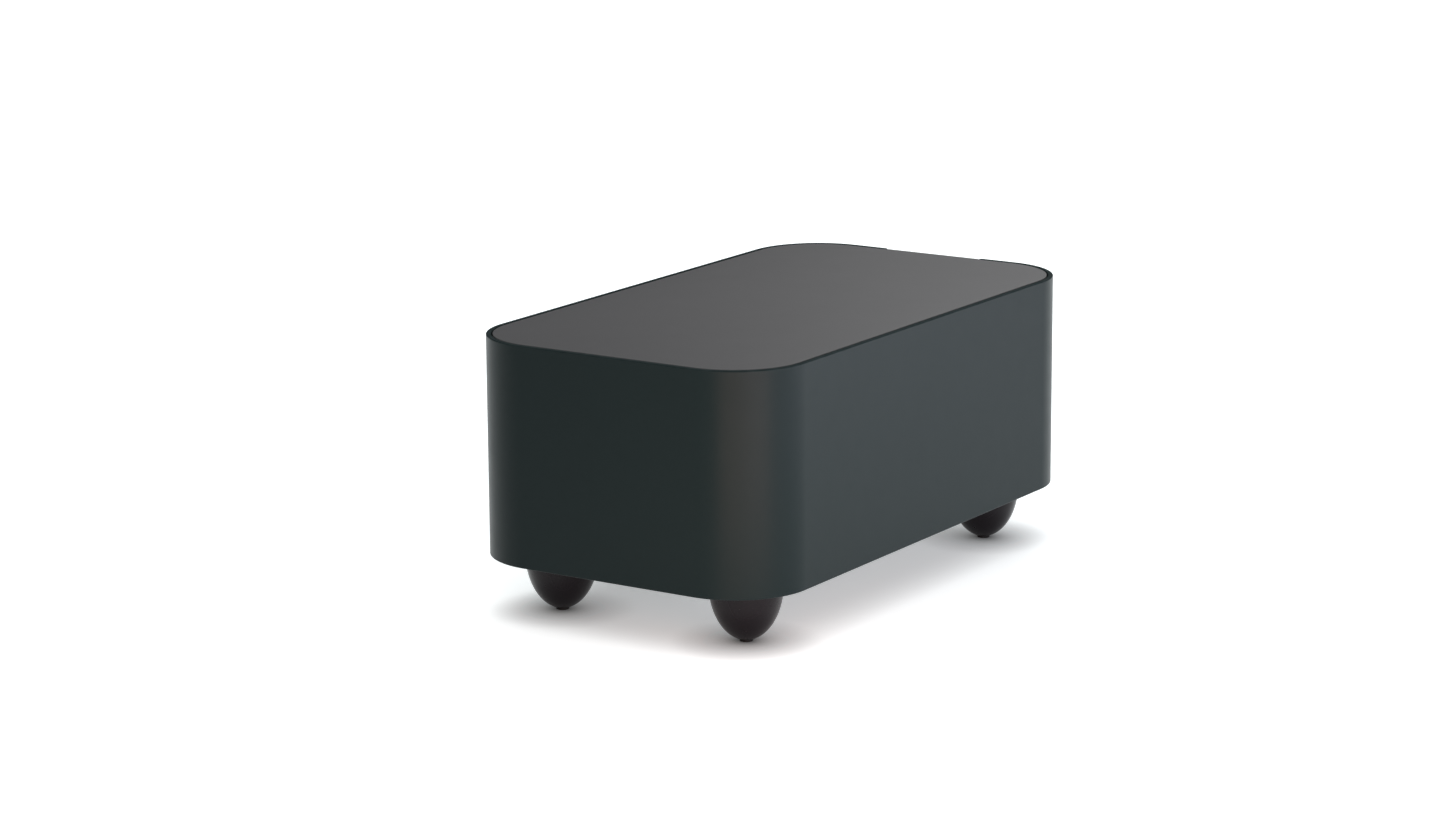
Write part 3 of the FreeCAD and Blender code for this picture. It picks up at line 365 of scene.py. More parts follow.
class Coating(Wiring):
    """One finish, laid out as shader nodes on the piece's own coordinates."""

    MOTTLE_DETAIL, GLOSS_DETAIL, WEAR_DETAIL, GRAIN_DETAIL = 3.0, 4.0, 4.0, 2.0
    GLOSS_FINER = 3
    WEAR_PATCH = (0.35, 0.60)
    EDGE_TURN = (0.995, 0.90)
    EDGE_SAMPLES = 3
    EDGE_CORE = 3
    MATT_FADE = 0.2 * MM
    MATT_ROUGHNESS = 0.85

    def __init__(self, name: str, finish: Finish) -> None:
        """Lay the finish out.

        Args:
            name: The material's name.
            finish: The finish.
        """
        self.material = bpy.data.materials.new(name)
        self.material.use_nodes = True
        super().__init__(self.material.node_tree)
        self.finish = finish
        self.where = self.add("TexCoord", out="Object")
        paler = tuple(min(part * (1 + finish.mottle), 1) for part in finish.colour)
        darker = tuple(part * (1 - finish.mottle) for part in finish.colour)
        colour = self.blend(self.noise(finish.mottle_size, self.MOTTLE_DETAIL), darker, paler)
        gloss = self.noise(finish.mottle_size / self.GLOSS_FINER, self.GLOSS_DETAIL)
        spread = finish.gloss_spread
        rough = self.ramp(gloss, target=(finish.roughness - spread, finish.roughness + spread))
        if finish.worn is not None:
            rubbed = self.rubbed_edges()
            colour = self.blend(rubbed, colour, finish.worn)
            rough = self.ramp(rubbed, target=(rough, finish.worn_roughness))
        if finish.matt_above is not None:
            rough = self.calculate("MAXIMUM", rough, self.matt_edge())
        grain = self.add("Mapping", {"Scale": finish.grain.value, "Vector": self.where})
        height = self.noise(finish.grain_size, self.GRAIN_DETAIL, grain)
        normal = self.add("Bump", {"Distance": finish.grain_depth, "Height": height})
        self.feed(self.tree.nodes["Principled BSDF"], {
            "Metallic": finish.metallic, "Specular IOR Level": finish.specular,
            "Base Color": colour, "Roughness": rough, "Normal": normal})

    def noise(self, cell: float, detail: float, where: Socket | None = None) -> Socket:
        """Make a noise whose cells have a real size.

        Args:
            cell: The size of a cell.
            detail: How many finer layers it has.
            where: The coordinates to read, if they aren't the piece's own.

        Returns:
            The socket that holds the noise, from 0 to 1.
        """
        return self.add("TexNoise", {"Scale": 1 / cell, "Detail": detail, "Vector": where or self.where})

    def blend(self, share: Socket, start: Socket | Colour, end: Colour) -> Socket:
        """Blend two colours.

        Args:
            share: How much of the second colour shows.
            start: The first colour.
            end: The second colour.

        Returns:
            The socket that holds the blend.
        """
        return self.add("Mix", {"Factor": share, "A": start, "B": end}, "Result", data_type="RGBA")

    def height(self) -> Socket:
        """Give the socket that holds the height."""
        return self.add("SeparateXYZ", {0: self.where}, "Z")

    def rubbed_edges(self) -> Socket:
        """Find how far the edges are worn that hands and cloths rub, broken up by a noise."""
        near = self.level_edges() if self.finish.edge_heights else self.turning_edges()
        noise = self.noise(self.finish.wear_size, self.WEAR_DETAIL)
        return self.calculate("MULTIPLY", near, self.ramp(noise, self.WEAR_PATCH, (0.0, self.finish.wear)))

    def turning_edges(self) -> Socket:
        """Find where the skin turns within a short reach: 1 on an edge and 0 away from it."""
        softened = self.add("Bevel", {"Radius": self.finish.edge_reach}, samples=self.EDGE_SAMPLES)
        normal = self.add("NewGeometry", out="Normal")
        turn = self.add("VectorMath", {0: softened, 1: normal}, "Value", operation="DOT_PRODUCT")
        return self.ramp(turn, self.EDGE_TURN)

    def level_edges(self) -> Socket:
        """Find the edges that run level, by their heights: 1 on an edge and 0 away from it."""
        reach = self.finish.edge_reach
        up = self.height()
        near = None
        for height in self.finish.edge_heights:
            away = self.calculate("ABSOLUTE", self.calculate("SUBTRACT", up, height))
            edge = self.ramp(away, (reach, reach / self.EDGE_CORE))
            near = edge if near is None else self.calculate("MAXIMUM", near, edge)
        return near

    def matt_edge(self) -> Socket:
        """Give the least roughness, which makes the coat matt on the sheet's cut edge above one height."""
        start = self.finish.matt_above
        return self.ramp(self.height(), (start, start + self.MATT_FADE), (0.0, self.MATT_ROUGHNESS))


FINISHES = {
    "casing_paint": Finish(
        (0.0080, 0.0164, 0.0172), 0.36, specular=0.104, grain_depth=0.018 * MM, mottle=0.04,
        matt_above=108.2 * MM, worn=(0.014, 0.024, 0.025), wear=0.7, edge_reach=0.8 * MM,
        edge_heights=(108.5 * MM, 23.2 * MM), wear_size=6 * MM),
    "plate_paint": Finish(
        (0.0637, 0.0643, 0.0668), 0.45, specular=0.2, grain_size=0.3 * MM, grain_depth=0.009 * MM,
        mottle=0.018, mottle_size=60 * MM, gloss_spread=0.015, worn=(0.11, 0.11, 0.11),
        worn_roughness=0.36, edge_reach=0.5 * MM, edge_heights=(107.9 * MM, 23.9 * MM), wear_size=5 * MM),
    "underside_paint": Finish(
        (0.014, 0.014, 0.015), 0.55, grain_depth=0.015 * MM, mottle=0.10, worn=(0.035, 0.035, 0.036),
        wear_size=4 * MM),
    "foot_lacquer": Finish(
        (0.0068, 0.0050, 0.0070), 0.26, specular=0.2, grain=Grain.TURNED, grain_size=0.6 * MM, mottle=0.15,
        mottle_size=9 * MM, worn=(0.018, 0.014, 0.016), wear=0.7, worn_roughness=0.40,
        edge_reach=1.5 * MM, edge_heights=(1.0 * MM,), wear_size=2 * MM),
    "pad_rubber": Finish(
        (0.008, 0.008, 0.008), 0.75, specular=0.25, grain_size=0.25 * MM, grain_depth=0.01 * MM,
        mottle=0.25, mottle_size=1.5 * MM, worn=(0.020, 0.020, 0.019), worn_roughness=0.85,
        wear_size=0.8 * MM),
    "insert_brass": Finish(
        (0.60, 0.40, 0.15), 0.30, metallic=1.0, grain=Grain.TURNED, grain_size=0.12 * MM, mottle=0.08,
        mottle_size=4 * MM, worn=(0.74, 0.52, 0.22), wear_size=0.8 * MM),
    "pillar_brass": Finish(
        (0.62, 0.58, 0.52), 0.25, metallic=1.0, grain=Grain.TURNED, grain_size=0.15 * MM,
        mottle_size=8 * MM, worn=(0.76, 0.66, 0.46), wear_size=1.0 * MM),
    "zinc_steel": Finish(
        (0.52, 0.54, 0.57), 0.30, metallic=1.0, grain_size=0.15 * MM, mottle=0.10, mottle_size=3 * MM,
        gloss_spread=0.07, worn=(0.66, 0.66, 0.66), wear_size=0.8 * MM),
    "black_screw": Finish(
        (0.015, 0.015, 0.016), 0.35, grain_size=0.12 * MM, grain_depth=0.003 * MM, mottle=0.15,
        mottle_size=2 * MM, worn=(0.16, 0.155, 0.15), wear=0.45, worn_roughness=0.35,
        edge_reach=0.15 * MM, wear_size=0.6 * MM),
    "core_steel": Finish(
        (0.20, 0.20, 0.21), 0.40, metallic=1.0, grain=Grain.WRAPPED, grain_size=0.25 * MM,
        grain_depth=0.02 * MM, mottle_size=8 * MM),
    "winding_tape": Finish(
        (0.50, 0.28, 0.06), 0.25, grain=Grain.WRAPPED, grain_depth=0.05 * MM, mottle=0.12,
        mottle_size=6 * MM),
    "screen_metal": Finish(
        (0.42, 0.42, 0.42), 0.38, metallic=1.0, grain=Grain.DRAWN, grain_size=0.2 * MM, mottle=0.08,
        gloss_spread=0.06, worn=(0.58, 0.58, 0.57)),
    "gold_plate": Finish(
        (0.83, 0.58, 0.22), 0.17, metallic=1.0, grain=Grain.TURNED, grain_size=0.10 * MM,
        grain_depth=0.0006 * MM, mottle=0.04, mottle_size=3 * MM, worn=(0.90, 0.68, 0.32), wear=0.7,
        worn_roughness=0.12, edge_reach=0.12 * MM, wear_size=0.7 * MM),
    "white_ring": Finish(
        (0.70, 0.70, 0.68), 0.40, grain_size=0.15 * MM, mottle=0.03, mottle_size=3 * MM,
        worn=(0.58, 0.57, 0.54), worn_roughness=0.50, wear_size=1.0 * MM),
    "red_ring": Finish(
        (0.42, 0.012, 0.010), 0.38, grain_size=0.15 * MM, mottle=0.08, mottle_size=3 * MM,
        worn=(0.50, 0.035, 0.028), wear=0.6, wear_size=1.0 * MM),
    "white_insulator": Finish(
        (0.74, 0.74, 0.72), 0.50, grain_size=0.12 * MM, mottle=0.04, mottle_size=2 * MM,
        worn=(0.62, 0.61, 0.57), worn_roughness=0.55, wear_size=0.8 * MM),
    "lead_sleeve": Finish(
        (0.014, 0.014, 0.015), 0.50, grain_size=0.25 * MM, grain_depth=0.008 * MM, mottle=0.20,
        mottle_size=5 * MM),
}
SLOT_OF = {part["node"]: part["material_slot"] for part in frame["record"]["subparts"]}


class Workshop:
    """Makes pieces, gives them their finish and puts them on the body that carries them."""

    def __init__(self) -> None:
        """Mix every finish once."""
        self.materials = {slot: Coating(slot, finish).material for slot, finish in FINISHES.items()}
        self.stood_for: set[str] = set()

    def fit(self, name: str, surface: Surface, *nodes: str, body: str = "root") -> None:
        """Make a piece that stands for solids of one finish.

        Args:
            name: The piece's name.
            surface: Its skin, in the row frame.
            nodes: The solids that it stands for.
            body: The body that carries it.
        """
        piece = put(name, surface.to_mesh(name))
        slot = SLOT_OF[nodes[0]]
        piece.data.materials.append(self.materials[slot])
        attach(piece, body)
        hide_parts(*nodes)
        self.stood_for.update(nodes)
        log.info("%s: %d faces, on %s", name, len(piece.data.polygons), body)

    def dress_solids(self) -> None:
        """Give every solid that still shows its own finish."""
        for node, piece in frame["nodes"].items():
            if node in self.stood_for:
                continue
            piece.data.materials.clear()
            piece.data.materials.append(self.materials[SLOT_OF[node]])
            log.info("%s: %s", node, SLOT_OF[node])


@dataclass
class Assembly:
    """A group of pieces that one workshop makes together."""

    shop: Workshop


@dataclass
class Casing(Assembly):
    """The sleeve and the top plate, whose rear tongue is the sockets' panel."""

    corner_radius: float = 30.0 * MM
    sleeve_sheet: float = 2.0 * MM
    plate_gap: float = 0.5 * MM
    rear_opening: float = 45.0 * MM
    rim_round: float = 0.4 * MM
    inner_round: float = 0.2 * MM
    rim_hold: float = 0.15 * MM
    top_sheet: float = 1.5 * MM
    bend_radius: float = 0.5 * MM
    bend_rows: int = 9
    plate_round: float = 0.25 * MM
    plate_round_steps: int = 4
    plate_hold: float = 0.2 * MM
    hold: float = 0.5 * MM
    corner_steps: int = 48
    side_steps: int = 6
    ring_hole: float = 5.85 * MM
    post_hole: float = 3.1 * MM
    screw_hole: float = 1.75 * MM
    hole_ring: float = 0.3

    @property
    def half_panel(self) -> float:
        """Half the panel's width."""
        return self.rear_opening / 2 - self.plate_gap

    @property
    def faces(self) -> tuple[float, float]:
        """How far out the top sheet's two faces lie."""
        return 0.0, -self.top_sheet

    def build(self) -> None:
        """Make the sleeve and the folded top."""
        self.shop.fit("wrapped_sleeve", self.sleeve(), "casing_sleeve")
        self.shop.fit("folded_top", self.folded_top(), "top_plate")

    def corner_arcs(self, half: Vector, radius: float, middle: Vector) -> tuple[np.ndarray, np.ndarray]:
        """Walk clockwise round four corners, from the rear right to the rear left.

        A point is its corner's centre plus the radius times (cos a, sin a), and (cos a, sin a) is also
        the way outwards there. The straight sides are what lies between the arcs, with a point held
        just past each arc's end.

        Args:
            half: Half the width and half the depth.
            radius: The corners' radius.
            middle: The middle of the outline.

        Returns:
            The points and the ways outwards, as rows of x and y.
        """
        quarter = np.linspace(0, math.pi / 2, self.corner_steps + 1)
        slide = np.zeros(self.corner_steps + 3)
        slide[0], slide[-1] = -self.hold, self.hold
        points, ways = [], []
        for number, (side, end) in enumerate(((1, 1), (1, -1), (-1, -1), (-1, 1))):
            angles = math.pi / 2 * (1 - number) - np.pad(quarter, 1, mode="edge")
            way = joined(np.cos(angles), np.sin(angles))
            along = joined(way[:, 1], -way[:, 0])
            centre = np.array([middle.x + side * (half.x - radius), middle.y + end * (half.y - radius)])
            points.append(centre + radius * way + slide[:, None] * along)
            ways.append(way)
        return np.concatenate(points), np.concatenate(ways)

    def sleeve(self) -> Surface:
        """Carry the sheet's section round the casing, from one side of the rear opening to the other."""
        low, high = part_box("casing_sleeve")
        points, ways = self.corner_arcs((high - low) / 2, self.corner_radius, (low + high) / 2)
        end = np.array([[self.rear_opening / 2, high.y]])
        points = np.concatenate([end, points, end * MIRROR])
        ways = np.concatenate([[[0, 1]], ways, [[0, 1]]])
        inner = -self.sleeve_sheet
        section = rounded(
            [(0, low.z, self.rim_round), (0, high.z, self.rim_round),
             (inner, high.z, self.inner_round), (inner, low.z, self.inner_round)],
            closed=True, hold=self.rim_hold)[:-1]
        grid = joined(*carried(points, ways, section), section[:, 1])
        surface = Surface()
        surface.add_grid(grid, wrap=True)
        surface.add_cap(grid[0])
        surface.add_cap(grid[-1])
        return surface

    def sheet_edge(self) -> np.ndarray:
        """Draw the top sheet's rounded edge, as rows of outwards and depth (0 on the face, less below)."""
        inset = -self.plate_round - self.hold
        corners = [(inset, 0, 0), (0, 0, self.plate_round), (0, -self.top_sheet, self.plate_round),
                   (inset, -self.top_sheet, 0)]
        return rounded(corners, steps=self.plate_round_steps, hold=self.plate_hold)

    def folded_top(self) -> Surface:
        """Fold the top plate: a rounded plate, a bend and the panel with its holes, as one skin."""
        low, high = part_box("top_plate")
        sleeve_low, sleeve_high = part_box("casing_sleeve")
        middle = (sleeve_low + sleeve_high) / 2
        inset = Vector((self.sleeve_sheet + self.plate_gap,) * 3)
        half = (sleeve_high - sleeve_low) / 2 - inset
        edge = self.sheet_edge()
        outer_bend = self.bend_radius + self.top_sheet
        fold = high.y - outer_bend
        seam = np.linspace(-1, 1, 4 * self.side_steps + 1) * (self.half_panel + edge[0, 0])
        surface = Surface()

        points, ways = self.corner_arcs(half, self.corner_radius - inset.x, middle)
        start = np.array([[self.half_panel, fold], [self.half_panel, middle.y + half.y]])
        start_ways = np.array([[1, 0], [1, 1]])
        points = np.concatenate([start, points, start[::-1] * MIRROR])
        ways = np.concatenate([start_ways, ways, start_ways[::-1] * MIRROR])
        plate = joined(*carried(points, ways, edge), high.z + edge[:, 1])
        surface.add_grid(plate)
        for column, depth in zip((0, -1), self.faces):
            closing = joined(seam, fold, high.z + depth)[1:-1]
            surface.add_cap(np.concatenate([plate[:, column], closing]))

        right_edge = edge + [self.half_panel, 0]
        lines = [right_edge, right_edge * MIRROR, *(joined(seam, depth) for depth in self.faces)]
        angles = np.linspace(0, math.pi / 2, self.bend_rows)[:, None]
        for line in lines:
            reach = outer_bend + line[:, 1]
            surface.add_grid(joined(line[:, 0], fold + reach * np.sin(angles),
                                    high.z - outer_bend + reach * np.cos(angles)))

        self.add_panel(surface, low.z, high.z - outer_bend, high.y, edge, seam)
        return surface

    def add_panel(
        self, surface: Surface, low: float, high: float, face: float, edge: np.ndarray, seam: np.ndarray
    ) -> None:
        """Add the panel below the bend, in rows of cells that each have a hole.

        Args:
            surface: The skin to add to.
            low: Height of the panel's lower edge.
            high: Height of the bend's end.
            face: Where the outer face lies.
            edge: The sheet's rounded edge.
            seam: The places across the panel that the bend has points at.
        """
        inputs, outputs = middle_of("left_input_socket"), middle_of("left_output_socket")
        post, screws = middle_of("ground_post"), middle_of("panel_screws")
        screw_low, screw_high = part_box("panel_screws")
        screw_across = (screw_high.x - screw_low.x) / 2 - (screw_high.z - screw_low.z) / 2
        half_drop = (inputs.z - outputs.z) / 2
        borders = [low - edge[0, 0], (screws.z + post.z) / 2, (post.z + outputs.z) / 2,
                   inputs.z - half_drop, inputs.z + half_drop]
        rows = [
            (screws.z, self.screw_hole, (-screw_across, screw_across)),
            (post.z, self.post_hole, (0.0,)),
            (outputs.z, self.ring_hole, (inputs.x, -inputs.x)),
            (inputs.z, self.ring_hole, (inputs.x, -inputs.x)),
        ]
        side = []
        for number, (height, radius, places) in enumerate(rows):
            uprights = np.linspace(borders[number], borders[number + 1], 2 * self.side_steps + 1)
            side.append(uprights[:-1])
            pieces = np.array_split(np.arange(len(seam) - 1), len(places))
            for place, piece in zip(places, pieces):
                across = seam[piece[0]:piece[-1] + 2]
                self.add_holed_cell(surface, across, uprights, (place, height), radius, face)
        top_band = np.array([borders[-1], high])
        for depth in self.faces:
            surface.add_grid(joined(seam, face + depth, top_band[:, None]))
        heights = np.concatenate([*side, top_band])[::-1][:-1]
        right = joined(self.half_panel, heights)
        bottom = joined(seam[::-1][1:-1], low)
        corner = np.array([[self.half_panel, low]])
        path = np.concatenate([right, corner, bottom, corner * MIRROR, right[::-1] * MIRROR])
        out, down = np.array([[1, 0]]), np.array([[0, -1]])
        ways = np.concatenate([
            np.repeat(out, len(right), axis=0), out + down, np.repeat(down, len(bottom), axis=0),
            down - out, np.repeat(-out, len(right), axis=0)])
        across, up = carried(path, ways, edge)
        surface.add_grid(joined(across, face + edge[:, 1], up))

    def add_holed_cell(
        self,
        surface: Surface,
        across: np.ndarray,
        uprights: np.ndarray,
        hole: tuple[float, float],
        radius: float,
        face: float,
    ) -> None:
        """Add a rectangle of sheet with a round hole: on both faces each point of the border is joined to
        the point of the circle that lies the same way from the hole's centre, and the circles are joined
        through the sheet.

        Args:
            surface: The skin to add to.
            across: The places of the points on the lower and upper borders.
            uprights: The heights of the points on the side borders.
            hole: The hole's centre.
            radius: The hole's radius.
            face: Where the outer face lies.
        """
        border = np.concatenate([
            joined(across[:-1], uprights[0]), joined(across[-1], uprights[:-1]),
            joined(across[:0:-1], uprights[-1]), joined(across[0], uprights[:0:-1])])
        way = border - hole
        circle = hole + radius * way / np.linalg.norm(way, axis=1, keepdims=True)
        share = np.array([0.0, self.hole_ring, 1.0])[:, None, None]
        flat = circle * (1 - share) + border * share
        for depth in self.faces:
            surface.add_grid(joined(flat[..., 0], face + depth, flat[..., 1]), wrap=True)
        depths = face + np.array(self.faces)[:, None]
        surface.add_grid(joined(circle[:, 0], depths, circle[:, 1]), wrap=True)


@dataclass
class Feet(Assembly):
    """Four lacquered egg feet, each with a rubber pad let into its tip."""

    radius: float = 14.0 * MM
    half_height: float = 21.2 * MM
    pad_proud: float = 0.5 * MM
    pad_radius: float = 2.5 * MM
    pad_play: float = 0.05 * MM
    pad_depth: float = 3.0 * MM
    pad_round: float = 0.2 * MM
    tip_round: float = 0.15 * MM
    side_steps: int = 72
    turn_steps: int = 128

    def build(self) -> None:
        """Make the feet and their pads."""
        pads = Surface()
        for end in ("front", "rear"):
            for side in ("left", "right"):
                node = f"foot_{end}_{side}"
                self.shop.fit(f"egg_{node}", self.egg(node), node)
                middle = middle_of(node)
                pads.add_turned(self.pad_profile(), (middle.x, middle.y, 0.0), Facing.UP)
        self.shop.fit("pads_under_feet", pads, "foot_pads")

    def egg(self, node: str) -> Surface:
        """Turn an egg: the radius is the full radius times the cosine of an angle, and the height is the
        half height times its sine, from the pad's bore up to the flat under the bottom plate.

        Args:
            node: The solid that the egg stands for.

        Returns:
            The egg's skin.
        """
        low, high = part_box(node)
        centre_height = self.pad_proud + self.half_height
        bore = self.pad_radius + self.pad_play
        first = -math.acos((bore + self.tip_round) / self.radius)
        last = math.asin((high.z - centre_height) / self.half_height)
        angles = np.linspace(first, last, self.side_steps)
        side = joined(self.radius * np.cos(angles), self.half_height * np.sin(angles))
        floor = side[0, 1] + self.pad_depth
        inside = np.array([[0, floor], [bore, floor], [bore, side[0, 1] + self.tip_round]])
        profile = np.concatenate([inside, side, [[0, side[-1, 1]]]])
        seat = ((low.x + high.x) / 2, (low.y + high.y) / 2, centre_height)
        return Surface().add_turned(profile, seat, Facing.UP, self.turn_steps)

    def pad_profile(self) -> np.ndarray:
        """Draw the pad's section, from the middle of its sole to the middle of its top."""
        top = self.pad_proud + self.pad_depth
        return rounded([(0, 0, 0), (self.pad_radius, 0, self.pad_round),
                        (self.pad_radius, top, self.pad_round), (0, top, 0)])


@dataclass
class Sockets(Assembly):
    """Four gilt phono sockets with their coloured insulating rings."""

    flange_radius: float = 6.4 * MM
    flange_thickness: float = 2.0 * MM
    barrel_radius: float = 4.15 * MM
    barrel_wall: float = 0.6 * MM
    barrel_length: float = 9.0 * MM
    thread: Thread = Thread(4.75 * MM, 0.75 * MM, 0.06, 8)
    thread_length: float = 14.0 * MM
    insulator_recess: float = 0.5 * MM
    contact_radius: float = 2.2 * MM
    contact_bore: float = 1.65 * MM
    contact_bore_depth: float = 9.0 * MM
    contact_tail_radius: float = 1.0 * MM
    contact_tail_length: float = 7.0 * MM
    contact_steps: int = 64
    contact_hold: float = 0.03 * MM
    fit_play: float = 0.05 * MM
    ring_radius: float = 7.0 * MM
    ring_sheet: float = 1.2 * MM
    ring_shoulder: float = 5.75 * MM
    ring_play: float = 0.1 * MM
    panel_sheet: float = 1.5 * MM
    edge_round: float = 0.25 * MM
    fine_round: float = 0.12 * MM

    @property
    def reach(self) -> float:
        """How far a socket stands out of its ring."""
        return self.flange_thickness + self.barrel_length

    def build(self) -> None:
        """Make the sockets, their rings and their insulators."""
        insulators = Surface()
        for channel in ("left", "right"):
            rings = Surface()
            for row in ("input", "output"):
                node, contact = f"{channel}_{row}_socket", f"{channel}_{row}_contact"
                middle = middle_of(node)
                seat = (middle.x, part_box(node)[1].y - self.reach, middle.z)
                self.shop.fit(f"gilt_{node}", self.shell(seat), node)
                skin = Surface().add_turned(self.contact_profile(), seat, steps=self.contact_steps)
                self.shop.fit(f"gilt_{contact}", skin, contact)
                insulators.add_turned(self.insulator_profile(), seat)
                rings.add_turned(self.ring_profile(), (seat[0], seat[1] - self.ring_sheet, seat[2]))
            self.shop.fit(f"{channel}_shouldered_rings", rings, f"{channel}_socket_rings")
        self.shop.fit("insulator_sleeves", insulators, "socket_insulators")

    def shell(self, seat: Spot) -> Surface:
        """Turn a socket's shell: barrel, flange and a threaded tail behind the panel.

        Args:
            seat: The middle of the flange's rear face.

        Returns:
            The shell's skin.
        """
        bore = self.barrel_radius - self.barrel_wall
        throat = self.reach - 2 * self.fine_round
        outside = rounded([
            (bore, throat, 0), (bore, self.reach, self.fine_round),
            (self.barrel_radius, self.reach, self.edge_round),
            (self.barrel_radius, self.flange_thickness, self.fine_round),
            (self.flange_radius, self.flange_thickness, self.edge_round),
            (self.flange_radius, 0, self.fine_round), (self.thread.radius, 0, 0)])
        end = -self.thread_length
        surface = Surface().add_turned(outside, seat)
        self.thread.cut(surface, seat, 0, end)
        return surface.add_turned(np.array([[self.thread.radius, end], [bore, end], [bore, throat]]), seat)

    def contact_profile(self) -> np.ndarray:
        """Draw the centre contact's section: a sleeve for the plug's pin, and a solid tail."""
        face = self.reach - self.insulator_recess
        start, floor = -self.thread_length, face - self.contact_bore_depth
        end = start - self.contact_tail_length
        return rounded([
            (0, end, 0), (self.contact_tail_radius, end, self.fine_round),
            (self.contact_tail_radius, start, 0), (self.contact_radius, start, 0),
            (self.contact_radius, face, self.fine_round), (self.contact_bore, face, self.fine_round),
            (self.contact_bore, floor, 0), (0, floor, 0)], hold=self.contact_hold)

    def insulator_profile(self) -> np.ndarray:
        """Draw the section of the white sleeve between shell and contact."""
        inner = self.contact_radius + self.fit_play
        outer = self.barrel_radius - self.barrel_wall - self.fit_play
        face = self.reach - self.insulator_recess
        return rounded([(inner, -self.thread_length, 0), (outer, -self.thread_length, 0),
                        (outer, face, self.fine_round), (inner, face, self.fine_round)], closed=True)

    def ring_profile(self) -> np.ndarray:
        """Draw the section of a coloured ring, with the shoulder that centres it in the panel's hole."""
        bore = self.thread.radius + self.ring_play
        return rounded([
            (bore, -self.panel_sheet, 0), (self.ring_shoulder, -self.panel_sheet, 0),
            (self.ring_shoulder, 0, 0), (self.ring_radius, 0, self.fine_round),
            (self.ring_radius, self.ring_sheet, self.edge_round), (bore, self.ring_sheet, self.fine_round)],
            closed=True)


@dataclass
class GroundTerminal(Assembly):
    """The gilt ground post with its captive thumb nut and clamp washer."""

    collar_radius: float = 6.0 * MM
    collar_length: float = 2.5 * MM
    thread: Thread = Thread(2.0 * MM, 0.7 * MM, 0.17, 10)
    head_radius: float = 2.4 * MM
    head_length: float = 0.8 * MM
    shank: Thread = Thread(3.0 * MM, 0.75 * MM, 0.1, 10)
    shank_length: float = 9.0 * MM
    panel_sheet: float = 1.5 * MM
    washer_radius: float = 4.6 * MM
    washer_sheet: float = 1.2 * MM
    washer_play: float = 0.3 * MM
    nut_radius: float = 5.0 * MM
    nut_length: float = 9.0 * MM
    nut_thread: float = 4.0 * MM
    nut_bore: float = 2.7 * MM
    nut_play: float = 0.05 * MM
    nut_bevel: float = 0.6 * MM
    grooves: int = 18
    groove_steps: int = 16
    groove_radius: float = 0.55 * MM
    edge_round: float = 0.2 * MM
    fine_round: float = 0.1 * MM

    def build(self) -> None:
        """Make the post, the washer and the nut."""
        low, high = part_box("ground_post")
        middle = middle_of("ground_post")
        reach = high.y - low.y - self.shank_length - self.panel_sheet
        post = self.post((middle.x, high.y - reach, middle.z), reach)
        self.shop.fit("gilt_ground_post", post, "ground_post")
        inner = self.thread.radius + self.washer_play
        section = rounded([
            (inner, 0, self.fine_round), (self.washer_radius, 0, self.fine_round),
            (self.washer_radius, self.washer_sheet, self.edge_round),
            (inner, self.washer_sheet, self.fine_round)], closed=True)
        seat = (middle.x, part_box("ground_clamp_washer")[0].y, middle.z)
        washer = Surface().add_turned(section, seat)
        self.shop.fit("gilt_clamp_washer", washer, "ground_clamp_washer", body="clamp_washer")
        nut = self.thumb_nut((middle.x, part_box("ground_thumb_nut")[0].y, middle.z))
        self.shop.fit("grooved_thumb_nut", nut, "ground_thumb_nut", body="thumb_nut")

    def post(self, seat: Spot, reach: float) -> Surface:
        """Turn the post: a threaded shank, a collar, a thread and the peened head that keeps the nut on.

        Args:
            seat: The middle of the panel's outer face.
            reach: How far the post stands out of the panel.

        Returns:
            The post's skin.
        """
        back = -self.panel_sheet - self.shank_length
        neck = reach - self.head_length
        surface = Surface()
        self.shank.cut(surface, seat, back, 0.0)
        self.thread.cut(surface, seat, self.collar_length, neck)
        surface.add_turned(np.array([[0, back], [self.shank.radius, back]]), seat)
        surface.add_turned(rounded([
            (self.shank.radius, 0, 0), (self.collar_radius, 0, self.fine_round),
            (self.collar_radius, self.collar_length, self.edge_round),
            (self.thread.radius, self.collar_length, 0)]), seat)
        return surface.add_turned(rounded([
            (self.thread.radius, neck, 0), (self.head_radius, neck, self.fine_round),
            (self.head_radius, reach, self.edge_round), (0, reach, 0)]), seat)

    def thumb_nut(self, seat: Spot) -> Surface:
        """Turn the thumb nut and cut round grooves along its rim.

        A groove is a circle that reaches a little past the rim: at the distance d from its middle it is
        the square root of (groove radius squared less d squared), less a third of the groove radius, deep.

        Args:
            seat: The middle of the nut's inner face.

        Returns:
            The nut's skin.
        """
        steps = self.grooves * self.groove_steps
        bore = self.thread.radius + self.nut_play
        bevelled = self.nut_radius - self.nut_bevel
        outside = rounded([
            (bore, 0, 0), (bevelled, 0, self.fine_round),
            (self.nut_radius, self.nut_bevel, self.fine_round),
            (self.nut_radius, self.nut_length - self.nut_bevel, self.fine_round),
            (bevelled, self.nut_length, self.fine_round), (self.nut_bore, self.nut_length, self.fine_round),
            (self.nut_bore, self.nut_thread, 0), (bore, self.nut_thread, 0), (bore, 0, 0)])
        pitch_angle = 2 * math.pi / self.grooves
        angles = np.arange(steps) * (2 * math.pi / steps)
        away = (np.mod(angles + pitch_angle / 2, pitch_angle) - pitch_angle / 2) * self.nut_radius
        depth = np.sqrt(np.clip(self.groove_radius ** 2 - away ** 2, 0, None)) - self.groove_radius / 3
        groove_floor = self.nut_radius - np.clip(depth, 0, None)
        reach = np.minimum(outside[:, :1], groove_floor[None]) / outside[:, :1]
        return Surface().add_turned(outside, seat, steps=steps, reach=reach)


